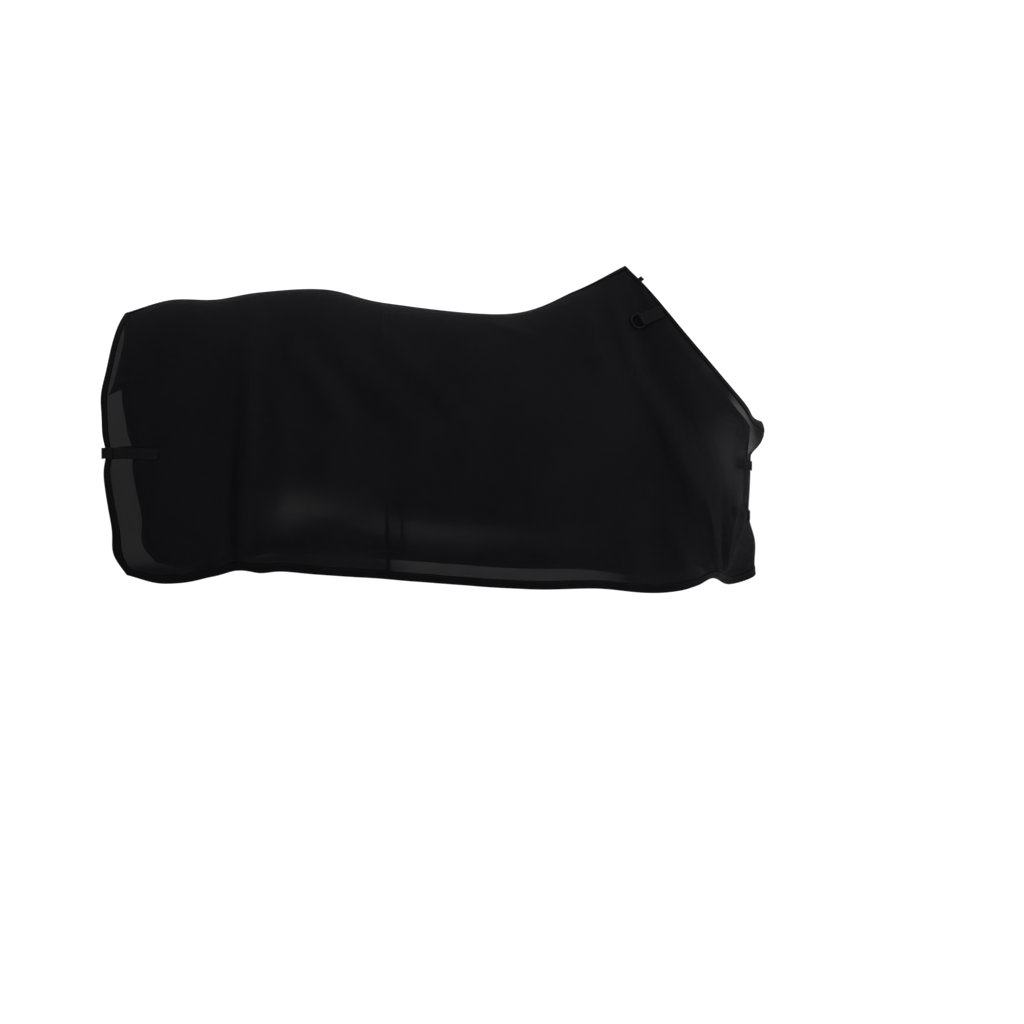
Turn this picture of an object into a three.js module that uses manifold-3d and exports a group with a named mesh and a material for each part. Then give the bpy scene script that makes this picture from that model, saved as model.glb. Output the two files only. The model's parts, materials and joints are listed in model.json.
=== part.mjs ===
// A fly sheet for a horse: a mesh rug of four panels, bound all round with tape, with a tail flap, a tail
// strap, two neck tabs with D-rings and two buckled chest straps. Millimetres, +X to the horse's head,
// +Z up, -Y the horse's right. The origin is on the horse's withers, where the sheet hangs.
import * as THREE from 'three';
import { mergeVertices } from 'three/addons/utils/BufferGeometryUtils.js';
import Module from 'manifold-3d';

const wasm = await Module();
wasm.setup();

// Driving dimensions
const MESH_THICKNESS = 3;
const TAPE_THICKNESS = 4.4;
const BINDING_WIDTH = 20;
const SEAM_TAPE_HALF = 14;
const GAP = 0.7;
const OVERLAP_LIFT = 3.8;
const WEBBING_THICKNESS = 2;
const SURFACE_CLEARANCE = 1.2;

// The draped shape. Each station is a rib from the top edge down to the hem: top edge, two points that the
// rib bends towards, and hem. The second number is the distance out from the middle of the horse.
const STATIONS = [
  { name: 'rear edge', rib: [[-1318, 0, -124], [-1352, 120, -190], [-1385, 190, -560], [-1272, 210, -795]] },
  { name: 'buttock', rib: [[-1200, 0, -91], [-1205, 170, -100], [-1215, 265, -400], [-1143, 250, -812]] },
  { name: 'croup', rib: [[-1080, 0, -90], [-1080, 200, -92], [-1080, 300, -350], [-1050, 275, -795]] },
  { name: 'hip', rib: [[-960, 0, -71], [-960, 210, -70], [-965, 325, -340], [-960, 290, -777]] },
  { name: 'loin', rib: [[-790, 0, -64], [-790, 215, -62], [-785, 325, -340], [-785, 300, -787]] },
  { name: 'flank seam', rib: [[-628, 0, -100], [-626, 215, -101], [-615, 325, -350], [-607, 300, -800]] },
  { name: 'barrel', rib: [[-310, 0, -128], [-306, 205, -122], [-300, 335, -370], [-299, 305, -822]] },
  { name: 'girth', rib: [[-130, 0, -66], [-128, 140, -75], [-110, 330, -360], [-100, 290, -824]] },
  { name: 'withers', rib: [[0, 0, 0], [5, 85, -60], [30, 325, -400], [42, 262, -838]] },
  { name: 'neck top', rib: [[60, 85, -72], [80, 150, -160], [105, 315, -470], [120, 243, -834]] },
  { name: 'neck side', rib: [[150, 150, -189], [165, 200, -270], [185, 290, -560], [170, 215, -822]] },
  { name: 'neck low', rib: [[235, 158, -290], [258, 195, -370], [290, 235, -620], [215, 172, -806]] },
  { name: 'chest side', rib: [[300, 115, -362], [316, 140, -440], [319, 140, -650], [268, 95, -832]] },
  { name: 'chest middle', rib: [[328, 38, -405], [320, 45, -540], [310, 45, -680], [334, 38, -815]] },
  { name: 'front edge', rib: [[330, -35, -425], [319, -35, -540], [309, -35, -680], [334, -35, -803]] },
];
const LAST = STATIONS.length - 1;
const SEAM_AT = STATIONS.findIndex((s) => s.name === 'flank seam') / LAST;
const WITHERS_AT = STATIONS.findIndex((s) => s.name === 'withers') / LAST;
const LAP_FROM = (LAST - 2.5) / LAST;
const LAP_FULL = (LAST - 1.5) / LAST;
const WITHERS_CLEAR = 0.003;
const FLARE_FROM = (LAST - 2) / LAST;
const FLARE_OUT = 40;
const FLARE_TOP = -385;
const FLARE_BOTTOM = -505;

// Rear tabs and tail strap
const TAIL_STRAP_WIDTH = 28;
const TAIL_STRAP_HEIGHT = -490;
const REAR_TAB_FRONT = -1193;
const REAR_TAB_BACK = -1338;
const TAIL_STRAP_BOW = 13;
const EDGE_PAST_TAB = 10;
const TAIL_STRAP_SEWN = 22;

// Tail flap
const FLAP_HINGE = new THREE.Vector3(-1308, 0, -138);
const FLAP_TOP_HALF = 12;
const FLAP_LOW_HALF = 104;
const FLAP_SPREAD_POWER = 0.6;
const FLAP_SIDE_DROP = 204;
const FLAP_SIDE_BACK = 34;
const FLAP_MIDDLE_DROP = 104;
const FLAP_MIDDLE_FORWARD = 124;

// Neck tabs and rings
const NECK_TAB_WIDTH = 38;
const NECK_TAB_LENGTH = 58;
const NECK_TAB_FOLD = { x: 36, z: -150 };
const NECK_TAB_SLOPE = THREE.MathUtils.degToRad(25);
const NECK_TAB_LIFT = 1.6;
const NECK_RING = { halfInner: 20, reach: 27, wire: 4, thickness: 3, roundness: 16 };
const TAG = { along: 16, across: 10, thickness: 1.2, past: 0.043, clear: 0.8 };

// Chest straps and buckles
const CHEST_STRAPS = { upper: -524, lower: -655 };
const CHEST_STRAP_WIDTH = 25;
const BUCKLE_Y = 92;
const BUCKLE_TAB_LENGTH = 48;
const BUCKLE = { halfInner: 14, reach: 30, wire: 4.5, thickness: 4, roundness: 6 };
const PRONG = { thickness: 2.6, width: 3, slot: 5.4, slotLength: 21, slotMiddle: 4 };
const KEEPER = { along: 38, width: 12, wall: 1, low: -4.6, high: 2.6, side: 1 };
// The strap's way: out from the middle along the right panel, then past the buckle's bar and off its face
const STRAP_ON_PANEL = [-95, -65, -35, -5, 18, 34];
const STRAP_IN_BUCKLE = [
  [33, -3.6], [27, -3.6], [18, -0.4], [7, 4.4], [0, 5.8], [-8, 4.6], [-20, 0.9], [-45, 0.9], [-60, 0.9],
];

const cloth = (color, roughness) => new THREE.MeshStandardMaterial({ color, roughness, metalness: 0 });
const FINISH = {
  mesh: () => cloth(0x131316, 0.95),
  tape: () => cloth(0x0c0c0d, 0.9),
  webbing: () => cloth(0x101012, 0.85),
  steel: () => new THREE.MeshStandardMaterial({ color: 0x2b2c2e, roughness: 0.4, metalness: 0.9 }),
};

const sheet = new THREE.Group();

function addPiece(name, geometry, material) {
  const piece = new THREE.Mesh(geometry, material);
  piece.name = name;
  sheet.add(piece);
}

// Surface of the draped cloth
const smoothCurve = (points) => new THREE.CatmullRomCurve3(points, false, 'catmullrom', 0.5);
const ribPoints = (i, from, to) => STATIONS.slice(from, to).map((s) => new THREE.Vector3(...s.rib[i]));
const WITHERS = WITHERS_AT * LAST;
const backCurve = smoothCurve(ribPoints(0, 0, WITHERS + 1));
const neckCurve = smoothCurve(ribPoints(0, WITHERS, LAST + 1));
const highCurve = smoothCurve(ribPoints(1, 0, LAST + 1));
const lowCurve = smoothCurve(ribPoints(2, 0, LAST + 1));
const hemCurve = smoothCurve(ribPoints(3, 0, LAST + 1));

function ribAt(u) {
  const top = u < WITHERS_AT
    ? backCurve.getPoint(u / WITHERS_AT)
    : neckCurve.getPoint((u - WITHERS_AT) / (1 - WITHERS_AT));
  return [top, highCurve.getPoint(u), lowCurve.getPoint(u), hemCurve.getPoint(u)];
}

// A point of the cloth's middle surface: u runs from the rear edge to the front edge, t from the top edge
// to the hem. The right panel laps over the left one at the chest, and its free top corner rolls forward.
function clothPoint(side, u, t) {
  const rib = ribAt(THREE.MathUtils.clamp(u, 0, 1));
  const point = new THREE.CubicBezierCurve3(...rib).getPoint(THREE.MathUtils.clamp(t, 0, 1));
  const lap = THREE.MathUtils.smoothstep(u, LAP_FROM, LAP_FULL);
  point.x -= side * OVERLAP_LIFT * lap;
  if (side < 0 && u > FLARE_FROM) {
    const along = THREE.MathUtils.clamp((point.z - FLARE_TOP) / (FLARE_BOTTOM - FLARE_TOP), 0, 1);
    const across = THREE.MathUtils.smoothstep(u, FLARE_FROM, 1);
    point.x += FLARE_OUT * across * Math.sin(Math.PI * along) ** 2;
  }
  point.y *= side;
  return point;
}

const STEP = 1e-3;
const UP = new THREE.Vector3(0, 0, 1);

function clothNormal(side, u, t) {
  const u0 = Math.min(Math.max(u, STEP), 1 - STEP);
  const t0 = Math.min(Math.max(t, STEP), 1 - STEP);
  const along = clothPoint(side, u0 + STEP, t0).sub(clothPoint(side, u0 - STEP, t0));
  const down = clothPoint(side, u0, t0 + STEP).sub(clothPoint(side, u0, t0 - STEP));
  return along.cross(down).multiplyScalar(side).normalize();
}

// A closed solid made from a box: its width, height and depth run along a, b and c of place(a, b, c).
function mappedBox(stepsA, stepsB, place) {
  const geometry = new THREE.BoxGeometry(1, 1, 1, stepsA, stepsB, 1);
  geometry.deleteAttribute('normal');
  geometry.deleteAttribute('uv');
  const merged = mergeVertices(geometry, 1e-5);
  const position = merged.attributes.position;
  for (let i = 0; i < position.count; i += 1) {
    const p = place(position.getX(i) + 0.5, position.getY(i) + 0.5, position.getZ(i));
    position.setXYZ(i, p.x, p.y, p.z);
  }
  return facingOut(merged);
}

function signedVolume(geometry) {
  const { index, attributes: { position } } = geometry;
  const corner = [0, 1, 2].map(() => new THREE.Vector3());
  let six = 0;
  for (let i = 0; i < index.count; i += 3) {
    corner.forEach((c, k) => c.fromBufferAttribute(position, index.getX(i + k)));
    six += corner[0].dot(corner[1].clone().cross(corner[2]));
  }
  return six / 6;
}

function facingOut(geometry) {
  if (signedVolume(geometry) < 0) {
    const index = geometry.index;
    for (let i = 0; i < index.count; i += 3) {
      const swap = index.getX(i + 1);
      index.setX(i + 1, index.getX(i + 2));
      index.setX(i + 2, swap);
    }
  }
  geometry.computeVertexNormals();
  return geometry;
}

// Widths of tape measured as shares of a rib or of the sheet's length
const topShare = (u, width) => width / (3 * ribAt(u)[0].distanceTo(ribAt(u)[1]));
const hemShare = (u, width) => width / (3 * ribAt(u)[2].distanceTo(ribAt(u)[3]));

function endShare(side, u, t, width) {
  const inner = Math.min(Math.max(u, STEP), 1 - STEP);
  const span = clothPoint(side, inner + STEP, t).distanceTo(clothPoint(side, inner - STEP, t));
  return (width * 2 * STEP) / span;
}

const topTape = (u) => (u < WITHERS_AT - STEP / 10 ? SEAM_TAPE_HALF : BINDING_WIDTH);
const lerp = THREE.MathUtils.lerp;

// Spreads 0 to 1 over stretches: stops are their ends, and steps how many grid steps each one has. Cloth and
// tape share the same stops, so that their facets meet along every seam.
function spread(stops, steps, a) {
  let left = a * steps.reduce((sum, n) => sum + n, 0);
  let i = 0;
  while (i < steps.length - 1 && left > steps[i] + STEP) {
    left -= steps[i];
    i += 1;
  }
  return lerp(stops[i], stops[i + 1], left / steps[i]);
}

// A patch of cloth: stops(t, b) are its stretches along the sheet, and it reaches from high(u) to low(u).
function clothPatch(side, thickness, stepsDown, { stops, steps, high, low }) {
  const stepsAlong = steps.reduce((sum, n) => sum + n, 0);
  return mappedBox(stepsAlong, stepsDown, (a, b, c) => {
    let u = a;
    let t = b;
    for (let round = 0; round < 5; round += 1) {
      u = spread(stops(t, b), steps, a);
      t = lerp(high(u), low(u), b);
    }
    return clothPoint(side, u, t).addScaledVector(clothNormal(side, u, t), c * thickness);
  });
}

const SIDES = { right: -1, left: 1 };
const RIM = BINDING_WIDTH + GAP;
const STEPS = { rim: 1, rear: 10, middle: 7, front: 15, down: 10 };
const SEAM_GAP_SHARE = GAP / 8000;

function addPanels(sideName, side) {
  const high = (u) => topShare(u, topTape(u) + 1.5 * GAP);
  const low = (u) => 1 - hemShare(u, RIM);
  addPiece(`rear_panel_${sideName}`, clothPatch(side, MESH_THICKNESS, STEPS.down, {
    stops: (t) => [endShare(side, 0, t, RIM), SEAM_AT - SEAM_GAP_SHARE], steps: [STEPS.rear], high, low,
  }), FINISH.mesh());
  addPiece(`front_panel_${sideName}`, clothPatch(side, MESH_THICKNESS, STEPS.down, {
    stops: (t) => [SEAM_AT + SEAM_GAP_SHARE, WITHERS_AT, 1 - endShare(side, 1, t, RIM)],
    steps: [STEPS.middle, STEPS.front],
    high,
    low,
  }), FINISH.mesh());
}

function addBindings(sideName, side) {
  const rearRim = (t) => endShare(side, 0, t, RIM);
  const frontRim = (t) => 1 - endShare(side, 1, t, RIM);
  addPiece(`hem_binding_${sideName}`, clothPatch(side, TAPE_THICKNESS, 1, {
    stops: (t) => [0, rearRim(t), SEAM_AT, WITHERS_AT, frontRim(t), 1],
    steps: [STEPS.rim, STEPS.rear, STEPS.middle, STEPS.front, STEPS.rim],
    high: (u) => 1 - hemShare(u, BINDING_WIDTH),
    low: () => 1,
  }), FINISH.tape());
  addPiece(`neck_binding_${sideName}`, clothPatch(side, TAPE_THICKNESS, 1, {
    stops: (t, b) => [WITHERS_AT + WITHERS_CLEAR * (1.1 - b), frontRim(t), 1],
    steps: [STEPS.front, STEPS.rim],
    high: () => 0,
    low: (u) => topShare(u, BINDING_WIDTH),
  }), FINISH.tape());
  const between = { high: (u) => topShare(u, topTape(u) + GAP), low: (u) => 1 - hemShare(u, RIM) };
  addPiece(`rear_binding_${sideName}`, clothPatch(side, TAPE_THICKNESS, STEPS.down, {
    ...between, stops: (t) => [0, endShare(side, 0, t, BINDING_WIDTH)], steps: [STEPS.rim],
  }), FINISH.tape());
  addPiece(`front_binding_${sideName}`, clothPatch(side, TAPE_THICKNESS, STEPS.down, {
    ...between, stops: (t) => [1 - endShare(side, 1, t, BINDING_WIDTH), 1], steps: [STEPS.rim],
  }), FINISH.tape());
}

function addBackSeamTape() {
  const steps = [STEPS.rim, STEPS.rear, STEPS.middle];
  addPiece('back_seam_tape', mappedBox(STEPS.rim + STEPS.rear + STEPS.middle, 2, (a, b, c) => {
    const side = b < 0.5 ? SIDES.right : SIDES.left;
    const rim = endShare(side, 0, topShare(0, SEAM_TAPE_HALF) * Math.abs(b - 0.5) * 2, RIM);
    const u = spread([0, rim, SEAM_AT, WITHERS_AT - WITHERS_CLEAR / 10], steps, a);
    const t = topShare(u, SEAM_TAPE_HALF) * Math.abs(b - 0.5) * 2;
    const outward = clothNormal(side, u, Math.max(t, STEP));
    if (b === 0.5) {
      outward.y = 0;
      outward.normalize();
    }
    return clothPoint(side, u, t).addScaledVector(outward, c * TAPE_THICKNESS);
  }), FINISH.tape());
}

// Where on the cloth two of its coordinates have the wanted values, found by Newton's method
function findOnCloth(side, first, second, want, guess) {
  let [u, t] = guess;
  for (let i = 0; i < 25; i += 1) {
    const p = clothPoint(side, u, t);
    const du = clothPoint(side, u + STEP, t).sub(p).divideScalar(STEP);
    const dt = clothPoint(side, u, t + STEP).sub(p).divideScalar(STEP);
    const miss = [want[0] - p[first], want[1] - p[second]];
    const det = du[first] * dt[second] - dt[first] * du[second];
    u = THREE.MathUtils.clamp(u + (miss[0] * dt[second] - miss[1] * dt[first]) / det, 0, 0.995);
    t = THREE.MathUtils.clamp(t + (miss[1] * du[first] - miss[0] * du[second]) / det, 0, 0.995);
  }
  return { point: clothPoint(side, u, t), normal: clothNormal(side, u, t) };
}

const onFlank = (side, x, z, guess) => findOnCloth(side, 'x', 'z', [x, z], guess);
const onChest = (side, y, z) => findOnCloth(side, 'y', 'z', [y, z], [0.93, 0.35]);
const OUTER_FACE = TAPE_THICKNESS / 2 + SURFACE_CLEARANCE;

// Rear tabs lie on the rear panels; the tail strap is sewn over their ends and crosses behind the horse.
function addRearTab(sideName, side) {
  addPiece(`rear_tab_${sideName}`, mappedBox(8, 1, (a, b, c) => {
    const x = lerp(REAR_TAB_FRONT, REAR_TAB_BACK, a);
    const z = TAIL_STRAP_HEIGHT + (b - 0.5) * TAIL_STRAP_WIDTH;
    const { point, normal } = onFlank(side, x, z, [0.03, 0.55]);
    return point.addScaledVector(normal, OUTER_FACE + (c + 0.5) * WEBBING_THICKNESS);
  }), FINISH.webbing());
}

function addTailStrap() {
  const side = SIDES.right;
  const edgeGuess = [0.03, 0.55];
  const end = onFlank(side, REAR_TAB_BACK + TAIL_STRAP_SEWN, TAIL_STRAP_HEIGHT, edgeGuess);
  const corner = onFlank(side, REAR_TAB_BACK, TAIL_STRAP_HEIGHT, edgeGuess);
  const above = onFlank(side, REAR_TAB_BACK, TAIL_STRAP_HEIGHT + TAIL_STRAP_WIDTH, edgeGuess);
  const lean = above.point.clone().sub(corner.point).normalize();
  const lift = OUTER_FACE + 1.5 * WEBBING_THICKNESS + 0.7 * GAP;
  const rearmost = corner.point.x - EDGE_PAST_TAB;
  const atEdge = 0.97 * corner.point.y;
  const turned = 0.7 * corner.point.y;
  const half = [
    end.point.clone().addScaledVector(end.normal, lift),
    corner.point.clone().addScaledVector(corner.normal, lift),
    new THREE.Vector3(rearmost - lift, atEdge, TAIL_STRAP_HEIGHT),
    new THREE.Vector3(rearmost - 0.8 * TAIL_STRAP_BOW, turned, TAIL_STRAP_HEIGHT),
  ];
  const mirrored = half.map((p) => new THREE.Vector3(p.x, -p.y, p.z)).reverse();
  const middle = new THREE.Vector3(rearmost - TAIL_STRAP_BOW, 0, TAIL_STRAP_HEIGHT);
  const widthAlong = (a) => {
    const leaning = new THREE.Vector3(lean.x, a < 0.5 ? lean.y : -lean.y, lean.z);
    return UP.clone().lerp(leaning, THREE.MathUtils.smoothstep(Math.abs(2 * a - 1), 0.5, 0.8)).normalize();
  };
  const path = smoothCurve([...half, middle, ...mirrored]);
  addPiece('tail_strap', ribbon(path, TAIL_STRAP_WIDTH, 24, widthAlong), FINISH.webbing());
}

// A flat strap along a path: widthAlong gives the way its width runs, which is upright unless it leans.
function ribbon(path, width, steps, widthAlong = () => UP) {
  return mappedBox(steps, 1, (a, b, c) => {
    const across = widthAlong(a);
    const outward = path.getTangent(a).cross(across).normalize();
    return path.getPoint(a)
      .addScaledVector(outward, c * WEBBING_THICKNESS)
      .addScaledVector(across, (b - 0.5) * width);
  });
}

// The tail flap hangs from the end of the back, tucked forward in the middle. q runs across from the
// middle (0) to a side (1), b down from the seam.
function flapPoint(across, down) {
  const q = Math.abs(across);
  const sideways = q * lerp(FLAP_LOW_HALF, FLAP_TOP_HALF, Math.max(1 - down, 0) ** FLAP_SPREAD_POWER);
  const forward = lerp(FLAP_MIDDLE_FORWARD * down, -FLAP_SIDE_BACK * down, q ** 2);
  const drop = lerp(FLAP_MIDDLE_DROP * down, FLAP_SIDE_DROP * down, q ** 1.5);
  return new THREE.Vector3(
    FLAP_HINGE.x + forward, Math.sign(across) * sideways, FLAP_HINGE.z - drop,
  );
}

function flapPatch(thickness, stepsA, stepsB, fromDown, toDown, fromAcross = -1, toAcross = 1) {
  const near = 0.01;
  return mappedBox(stepsA, stepsB, (a, b, c) => {
    const across = lerp(fromAcross, toAcross, a);
    const down = lerp(fromDown, toDown, b);
    const inside = Math.min(Math.abs(across), 1 - near) * Math.sign(across);
    const run = flapPoint(inside + near, down).sub(flapPoint(inside - near, down));
    const fall = flapPoint(inside, down + near).sub(flapPoint(inside, down - near));
    const outward = run.cross(fall).normalize();
    return flapPoint(across, down).addScaledVector(outward, c * thickness);
  });
}

function addTailFlap() {
  const bindingShare = BINDING_WIDTH / FLAP_SIDE_DROP;
  addPiece('tail_flap', flapPatch(MESH_THICKNESS, 12, 6, 0.03, 1 - bindingShare), FINISH.mesh());
  addPiece('tail_flap_binding', flapPatch(TAPE_THICKNESS, 12, 1, 1 - bindingShare + 0.004, 1), FINISH.tape());
}

// Solids joined and cut
function solidOf(geometry) {
  const bare = geometry.clone();
  bare.deleteAttribute('normal');
  bare.deleteAttribute('uv');
  const merged = mergeVertices(bare, 1e-4);
  const mesh = new wasm.Mesh({
    numProp: 3,
    vertProperties: new Float32Array(merged.attributes.position.array),
    triVerts: new Uint32Array(merged.index.array),
  });
  return new wasm.Manifold(mesh);
}

function geometryOf(solid) {
  const mesh = solid.getMesh();
  const geometry = new THREE.BufferGeometry();
  geometry.setAttribute('position', new THREE.BufferAttribute(new Float32Array(mesh.vertProperties), 3));
  geometry.setIndex(new THREE.BufferAttribute(new Uint32Array(mesh.triVerts), 1));
  geometry.computeVertexNormals();
  return geometry;
}

function extruded(shape, depth, curveSegments = 6) {
  return new THREE.ExtrudeGeometry(shape, { depth, bevelEnabled: false, curveSegments })
    .translate(0, 0, -depth / 2);
}

// Hardware is made lying flat: x runs from the bar to the far side, y along the bar, z away from the horse.
const BAR_RADIUS = 2;
const EYE_INNER = 2.4;
const EYE_OUTER = 4.2;
const BAR_HEIGHT = 6.2;

function ringOnBar(halfInner, reach, wire, thickness, roundness) {
  const halfOuter = halfInner + wire;
  const outer = new THREE.Shape();
  outer.moveTo(-wire, -halfOuter);
  outer.lineTo(reach - roundness, -halfOuter);
  outer.absarc(reach - roundness, -halfOuter + roundness, roundness, -Math.PI / 2, 0, false);
  outer.absarc(reach - roundness, halfOuter - roundness, roundness, 0, Math.PI / 2, false);
  outer.lineTo(-wire, halfOuter);
  outer.lineTo(-wire, halfInner);
  const innerRound = Math.max(roundness - wire, 1);
  outer.lineTo(reach - wire - innerRound, halfInner);
  outer.absarc(reach - wire - innerRound, halfInner - innerRound, innerRound, Math.PI / 2, 0, true);
  outer.absarc(reach - wire - innerRound, -halfInner + innerRound, innerRound, 0, -Math.PI / 2, true);
  outer.lineTo(-wire, -halfInner);
  const bar = new THREE.CylinderGeometry(BAR_RADIUS, BAR_RADIUS, 2 * halfInner + wire, 12);
  return geometryOf(solidOf(extruded(outer, thickness)).add(solidOf(bar)));
}

// Webbing folded round the bar: an eye with a doubled tail, cut away in the middle for a prong if asked
function foldedTab(width, length, prongSlot = 0) {
  const tailTop = -0.8;
  const tail = new THREE.Shape();
  tail.moveTo(-length, -EYE_OUTER);
  tail.lineTo(0, -EYE_OUTER);
  tail.absarc(0, 0, EYE_OUTER, -Math.PI / 2, Math.PI + Math.asin(-tailTop / EYE_OUTER), false);
  tail.lineTo(-length, tailTop);
  tail.holes.push(new THREE.Path().absarc(0, 0, EYE_INNER, 0, 2 * Math.PI, true));
  const folded = extruded(tail, width, 10).rotateX(Math.PI / 2);
  if (prongSlot === 0) {
    return folded;
  }
  const slot = new THREE.BoxGeometry(3 * EYE_OUTER, prongSlot, 3 * EYE_OUTER).translate(-EYE_INNER / 2, 0, 0);
  return geometryOf(solidOf(folded).subtract(solidOf(slot)));
}

function prong(reach, thickness, width) {
  const armLow = BAR_RADIUS + GAP;
  const tip = reach - thickness / 2;
  const arm = new THREE.Shape();
  arm.moveTo(1, armLow);
  arm.lineTo(tip, armLow);
  arm.absarc(tip, armLow + thickness / 2, thickness / 2, -Math.PI / 2, Math.PI / 2, false);
  arm.lineTo(1, armLow + thickness);
  const eye = new THREE.Shape();
  eye.absarc(0, 0, EYE_OUTER, 0, 2 * Math.PI, false);
  eye.holes.push(new THREE.Path().absarc(0, 0, EYE_INNER, 0, 2 * Math.PI, true));
  const joined = solidOf(extruded(eye, width, 10)).add(solidOf(extruded(arm, width)));
  return geometryOf(joined).rotateX(Math.PI / 2);
}

// Stands a piece of hardware on the cloth: its x along `along`, its z along `outward`, its bar at `at`
function placed(geometry, at, along, outward) {
  const x = along.clone().addScaledVector(outward, -along.dot(outward)).normalize();
  const y = outward.clone().cross(x);
  return geometry.applyMatrix4(new THREE.Matrix4().makeBasis(x, y, outward).setPosition(at));
}

function addNeckTab(sideName, side) {
  const { point, normal } = onFlank(side, NECK_TAB_FOLD.x, NECK_TAB_FOLD.z, [0.6, 0.2]);
  const along = new THREE.Vector3(-Math.cos(NECK_TAB_SLOPE), 0, -Math.sin(NECK_TAB_SLOPE));
  const at = point.addScaledVector(normal, BAR_HEIGHT + NECK_TAB_LIFT);
  const ring = ringOnBar(...Object.values(NECK_RING));
  const tab = foldedTab(NECK_TAB_WIDTH, NECK_TAB_LENGTH);
  addPiece(`neck_tab_${sideName}`, placed(tab, at, along, normal), FINISH.webbing());
  addPiece(`neck_ring_${sideName}`, placed(ring, at, along, normal), FINISH.steel());
}

function addNeckEdgeTag() {
  const u = WITHERS_AT + TAG.past;
  const at = clothPoint(SIDES.right, u, 0);
  const outward = clothNormal(SIDES.right, u, 0);
  const alongEdge = clothPoint(SIDES.right, u + STEP, 0).sub(clothPoint(SIDES.right, u - STEP, 0));
  const offEdge = alongEdge.cross(outward).normalize();
  if (offEdge.z < 0) {
    offEdge.negate();
  }
  const tag = new THREE.BoxGeometry(TAG.across, TAG.along, TAG.thickness);
  const middle = at.addScaledVector(offEdge, TAG.across / 2 + TAG.clear);
  addPiece('neck_edge_tag', placed(tag, middle, offEdge, outward), FINISH.webbing());
}

// Chest straps: sewn on the right panel, across the lapped fronts, up through the buckle on the left one,
// over the bar and on through the keeper.
function addChestFastening(level, z) {
  const onLeft = onChest(SIDES.left, BUCKLE_Y, z);
  const outward = onLeft.normal.clone().setZ(0).normalize();
  const toRight = new THREE.Vector3(0, -1, 0);
  const at = onLeft.point.clone().addScaledVector(outward, BAR_HEIGHT + MESH_THICKNESS / 2);
  const frame = ringOnBar(...Object.values(BUCKLE));
  const place = (geometry) => placed(geometry, at, toRight, outward);
  addPiece(`buckle_frame_${level}`, place(frame), FINISH.steel());
  const tab = foldedTab(CHEST_STRAP_WIDTH, BUCKLE_TAB_LENGTH, PRONG.width + 2);
  addPiece(`buckle_tab_${level}`, place(tab), FINISH.webbing());
  const tongue = prong(BUCKLE.reach, PRONG.thickness, PRONG.width);
  addPiece(`buckle_prong_${level}`, place(tongue), FINISH.steel());
  addPiece(`strap_keeper_${level}`, place(keeper()), FINISH.webbing());
  addPiece(`chest_strap_${level}`, chestStrap(z, at, toRight, outward), FINISH.webbing());
}

function keeper() {
  const half = CHEST_STRAP_WIDTH / 2 + KEEPER.side;
  const rectangle = (grow) => {
    const path = new THREE.Shape();
    path.moveTo(-half - grow, KEEPER.low - grow);
    path.lineTo(half + grow, KEEPER.low - grow);
    path.lineTo(half + grow, KEEPER.high + grow);
    path.lineTo(-half - grow, KEEPER.high + grow);
    path.closePath();
    return path;
  };
  const band = rectangle(KEEPER.wall);
  band.holes.push(rectangle(0));
  return extruded(band, KEEPER.width).rotateX(Math.PI / 2).rotateZ(Math.PI / 2)
    .translate(-KEEPER.along, 0, 0);
}

function chestStrap(z, at, along, outward) {
  const x = along.clone().addScaledVector(outward, -along.dot(outward)).normalize();
  const inBuckle = (s, n) => at.clone().addScaledVector(x, s).addScaledVector(outward, n);
  const lift = OUTER_FACE + WEBBING_THICKNESS + GAP;
  const onRight = STRAP_ON_PANEL.map((y) => {
    const { point, normal } = onChest(SIDES.right, y, z);
    return point.addScaledVector(normal, lift);
  });
  const throughBuckle = STRAP_IN_BUCKLE.map(([s, n]) => inBuckle(s, n));
  const path = smoothCurve([...onRight, ...throughBuckle]);
  const strap = ribbon(path, CHEST_STRAP_WIDTH, 44);
  const slot = new THREE.BoxGeometry(PRONG.slotLength, PRONG.slot, 4 * BUCKLE.thickness)
    .translate(PRONG.slotMiddle, 0, BAR_RADIUS);
  return geometryOf(solidOf(strap).subtract(solidOf(placed(slot, at, along, outward))));
}

for (const [sideName, side] of Object.entries(SIDES)) {
  addPanels(sideName, side);
  addBindings(sideName, side);
  addRearTab(sideName, side);
  addNeckTab(sideName, side);
}
addBackSeamTape();
addTailFlap();
addTailStrap();
addNeckEdgeTag();
for (const [level, z] of Object.entries(CHEST_STRAPS)) {
  addChestFastening(level, z);
}

export default sheet;
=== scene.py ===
# %% [markdown]
# # A fly sheet for a horse, dressed around its frame
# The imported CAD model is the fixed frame. It says where every panel, strap and ring is and what moves.
# This lesson builds the looks around it: knitted mesh, folded tape, webbing, stitches and steel.
# Lengths are in metres, +X points to the horse's head, +Z up and -Y to the horse's right.

# %% Load the frame
import json
from math import pi, radians

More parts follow.
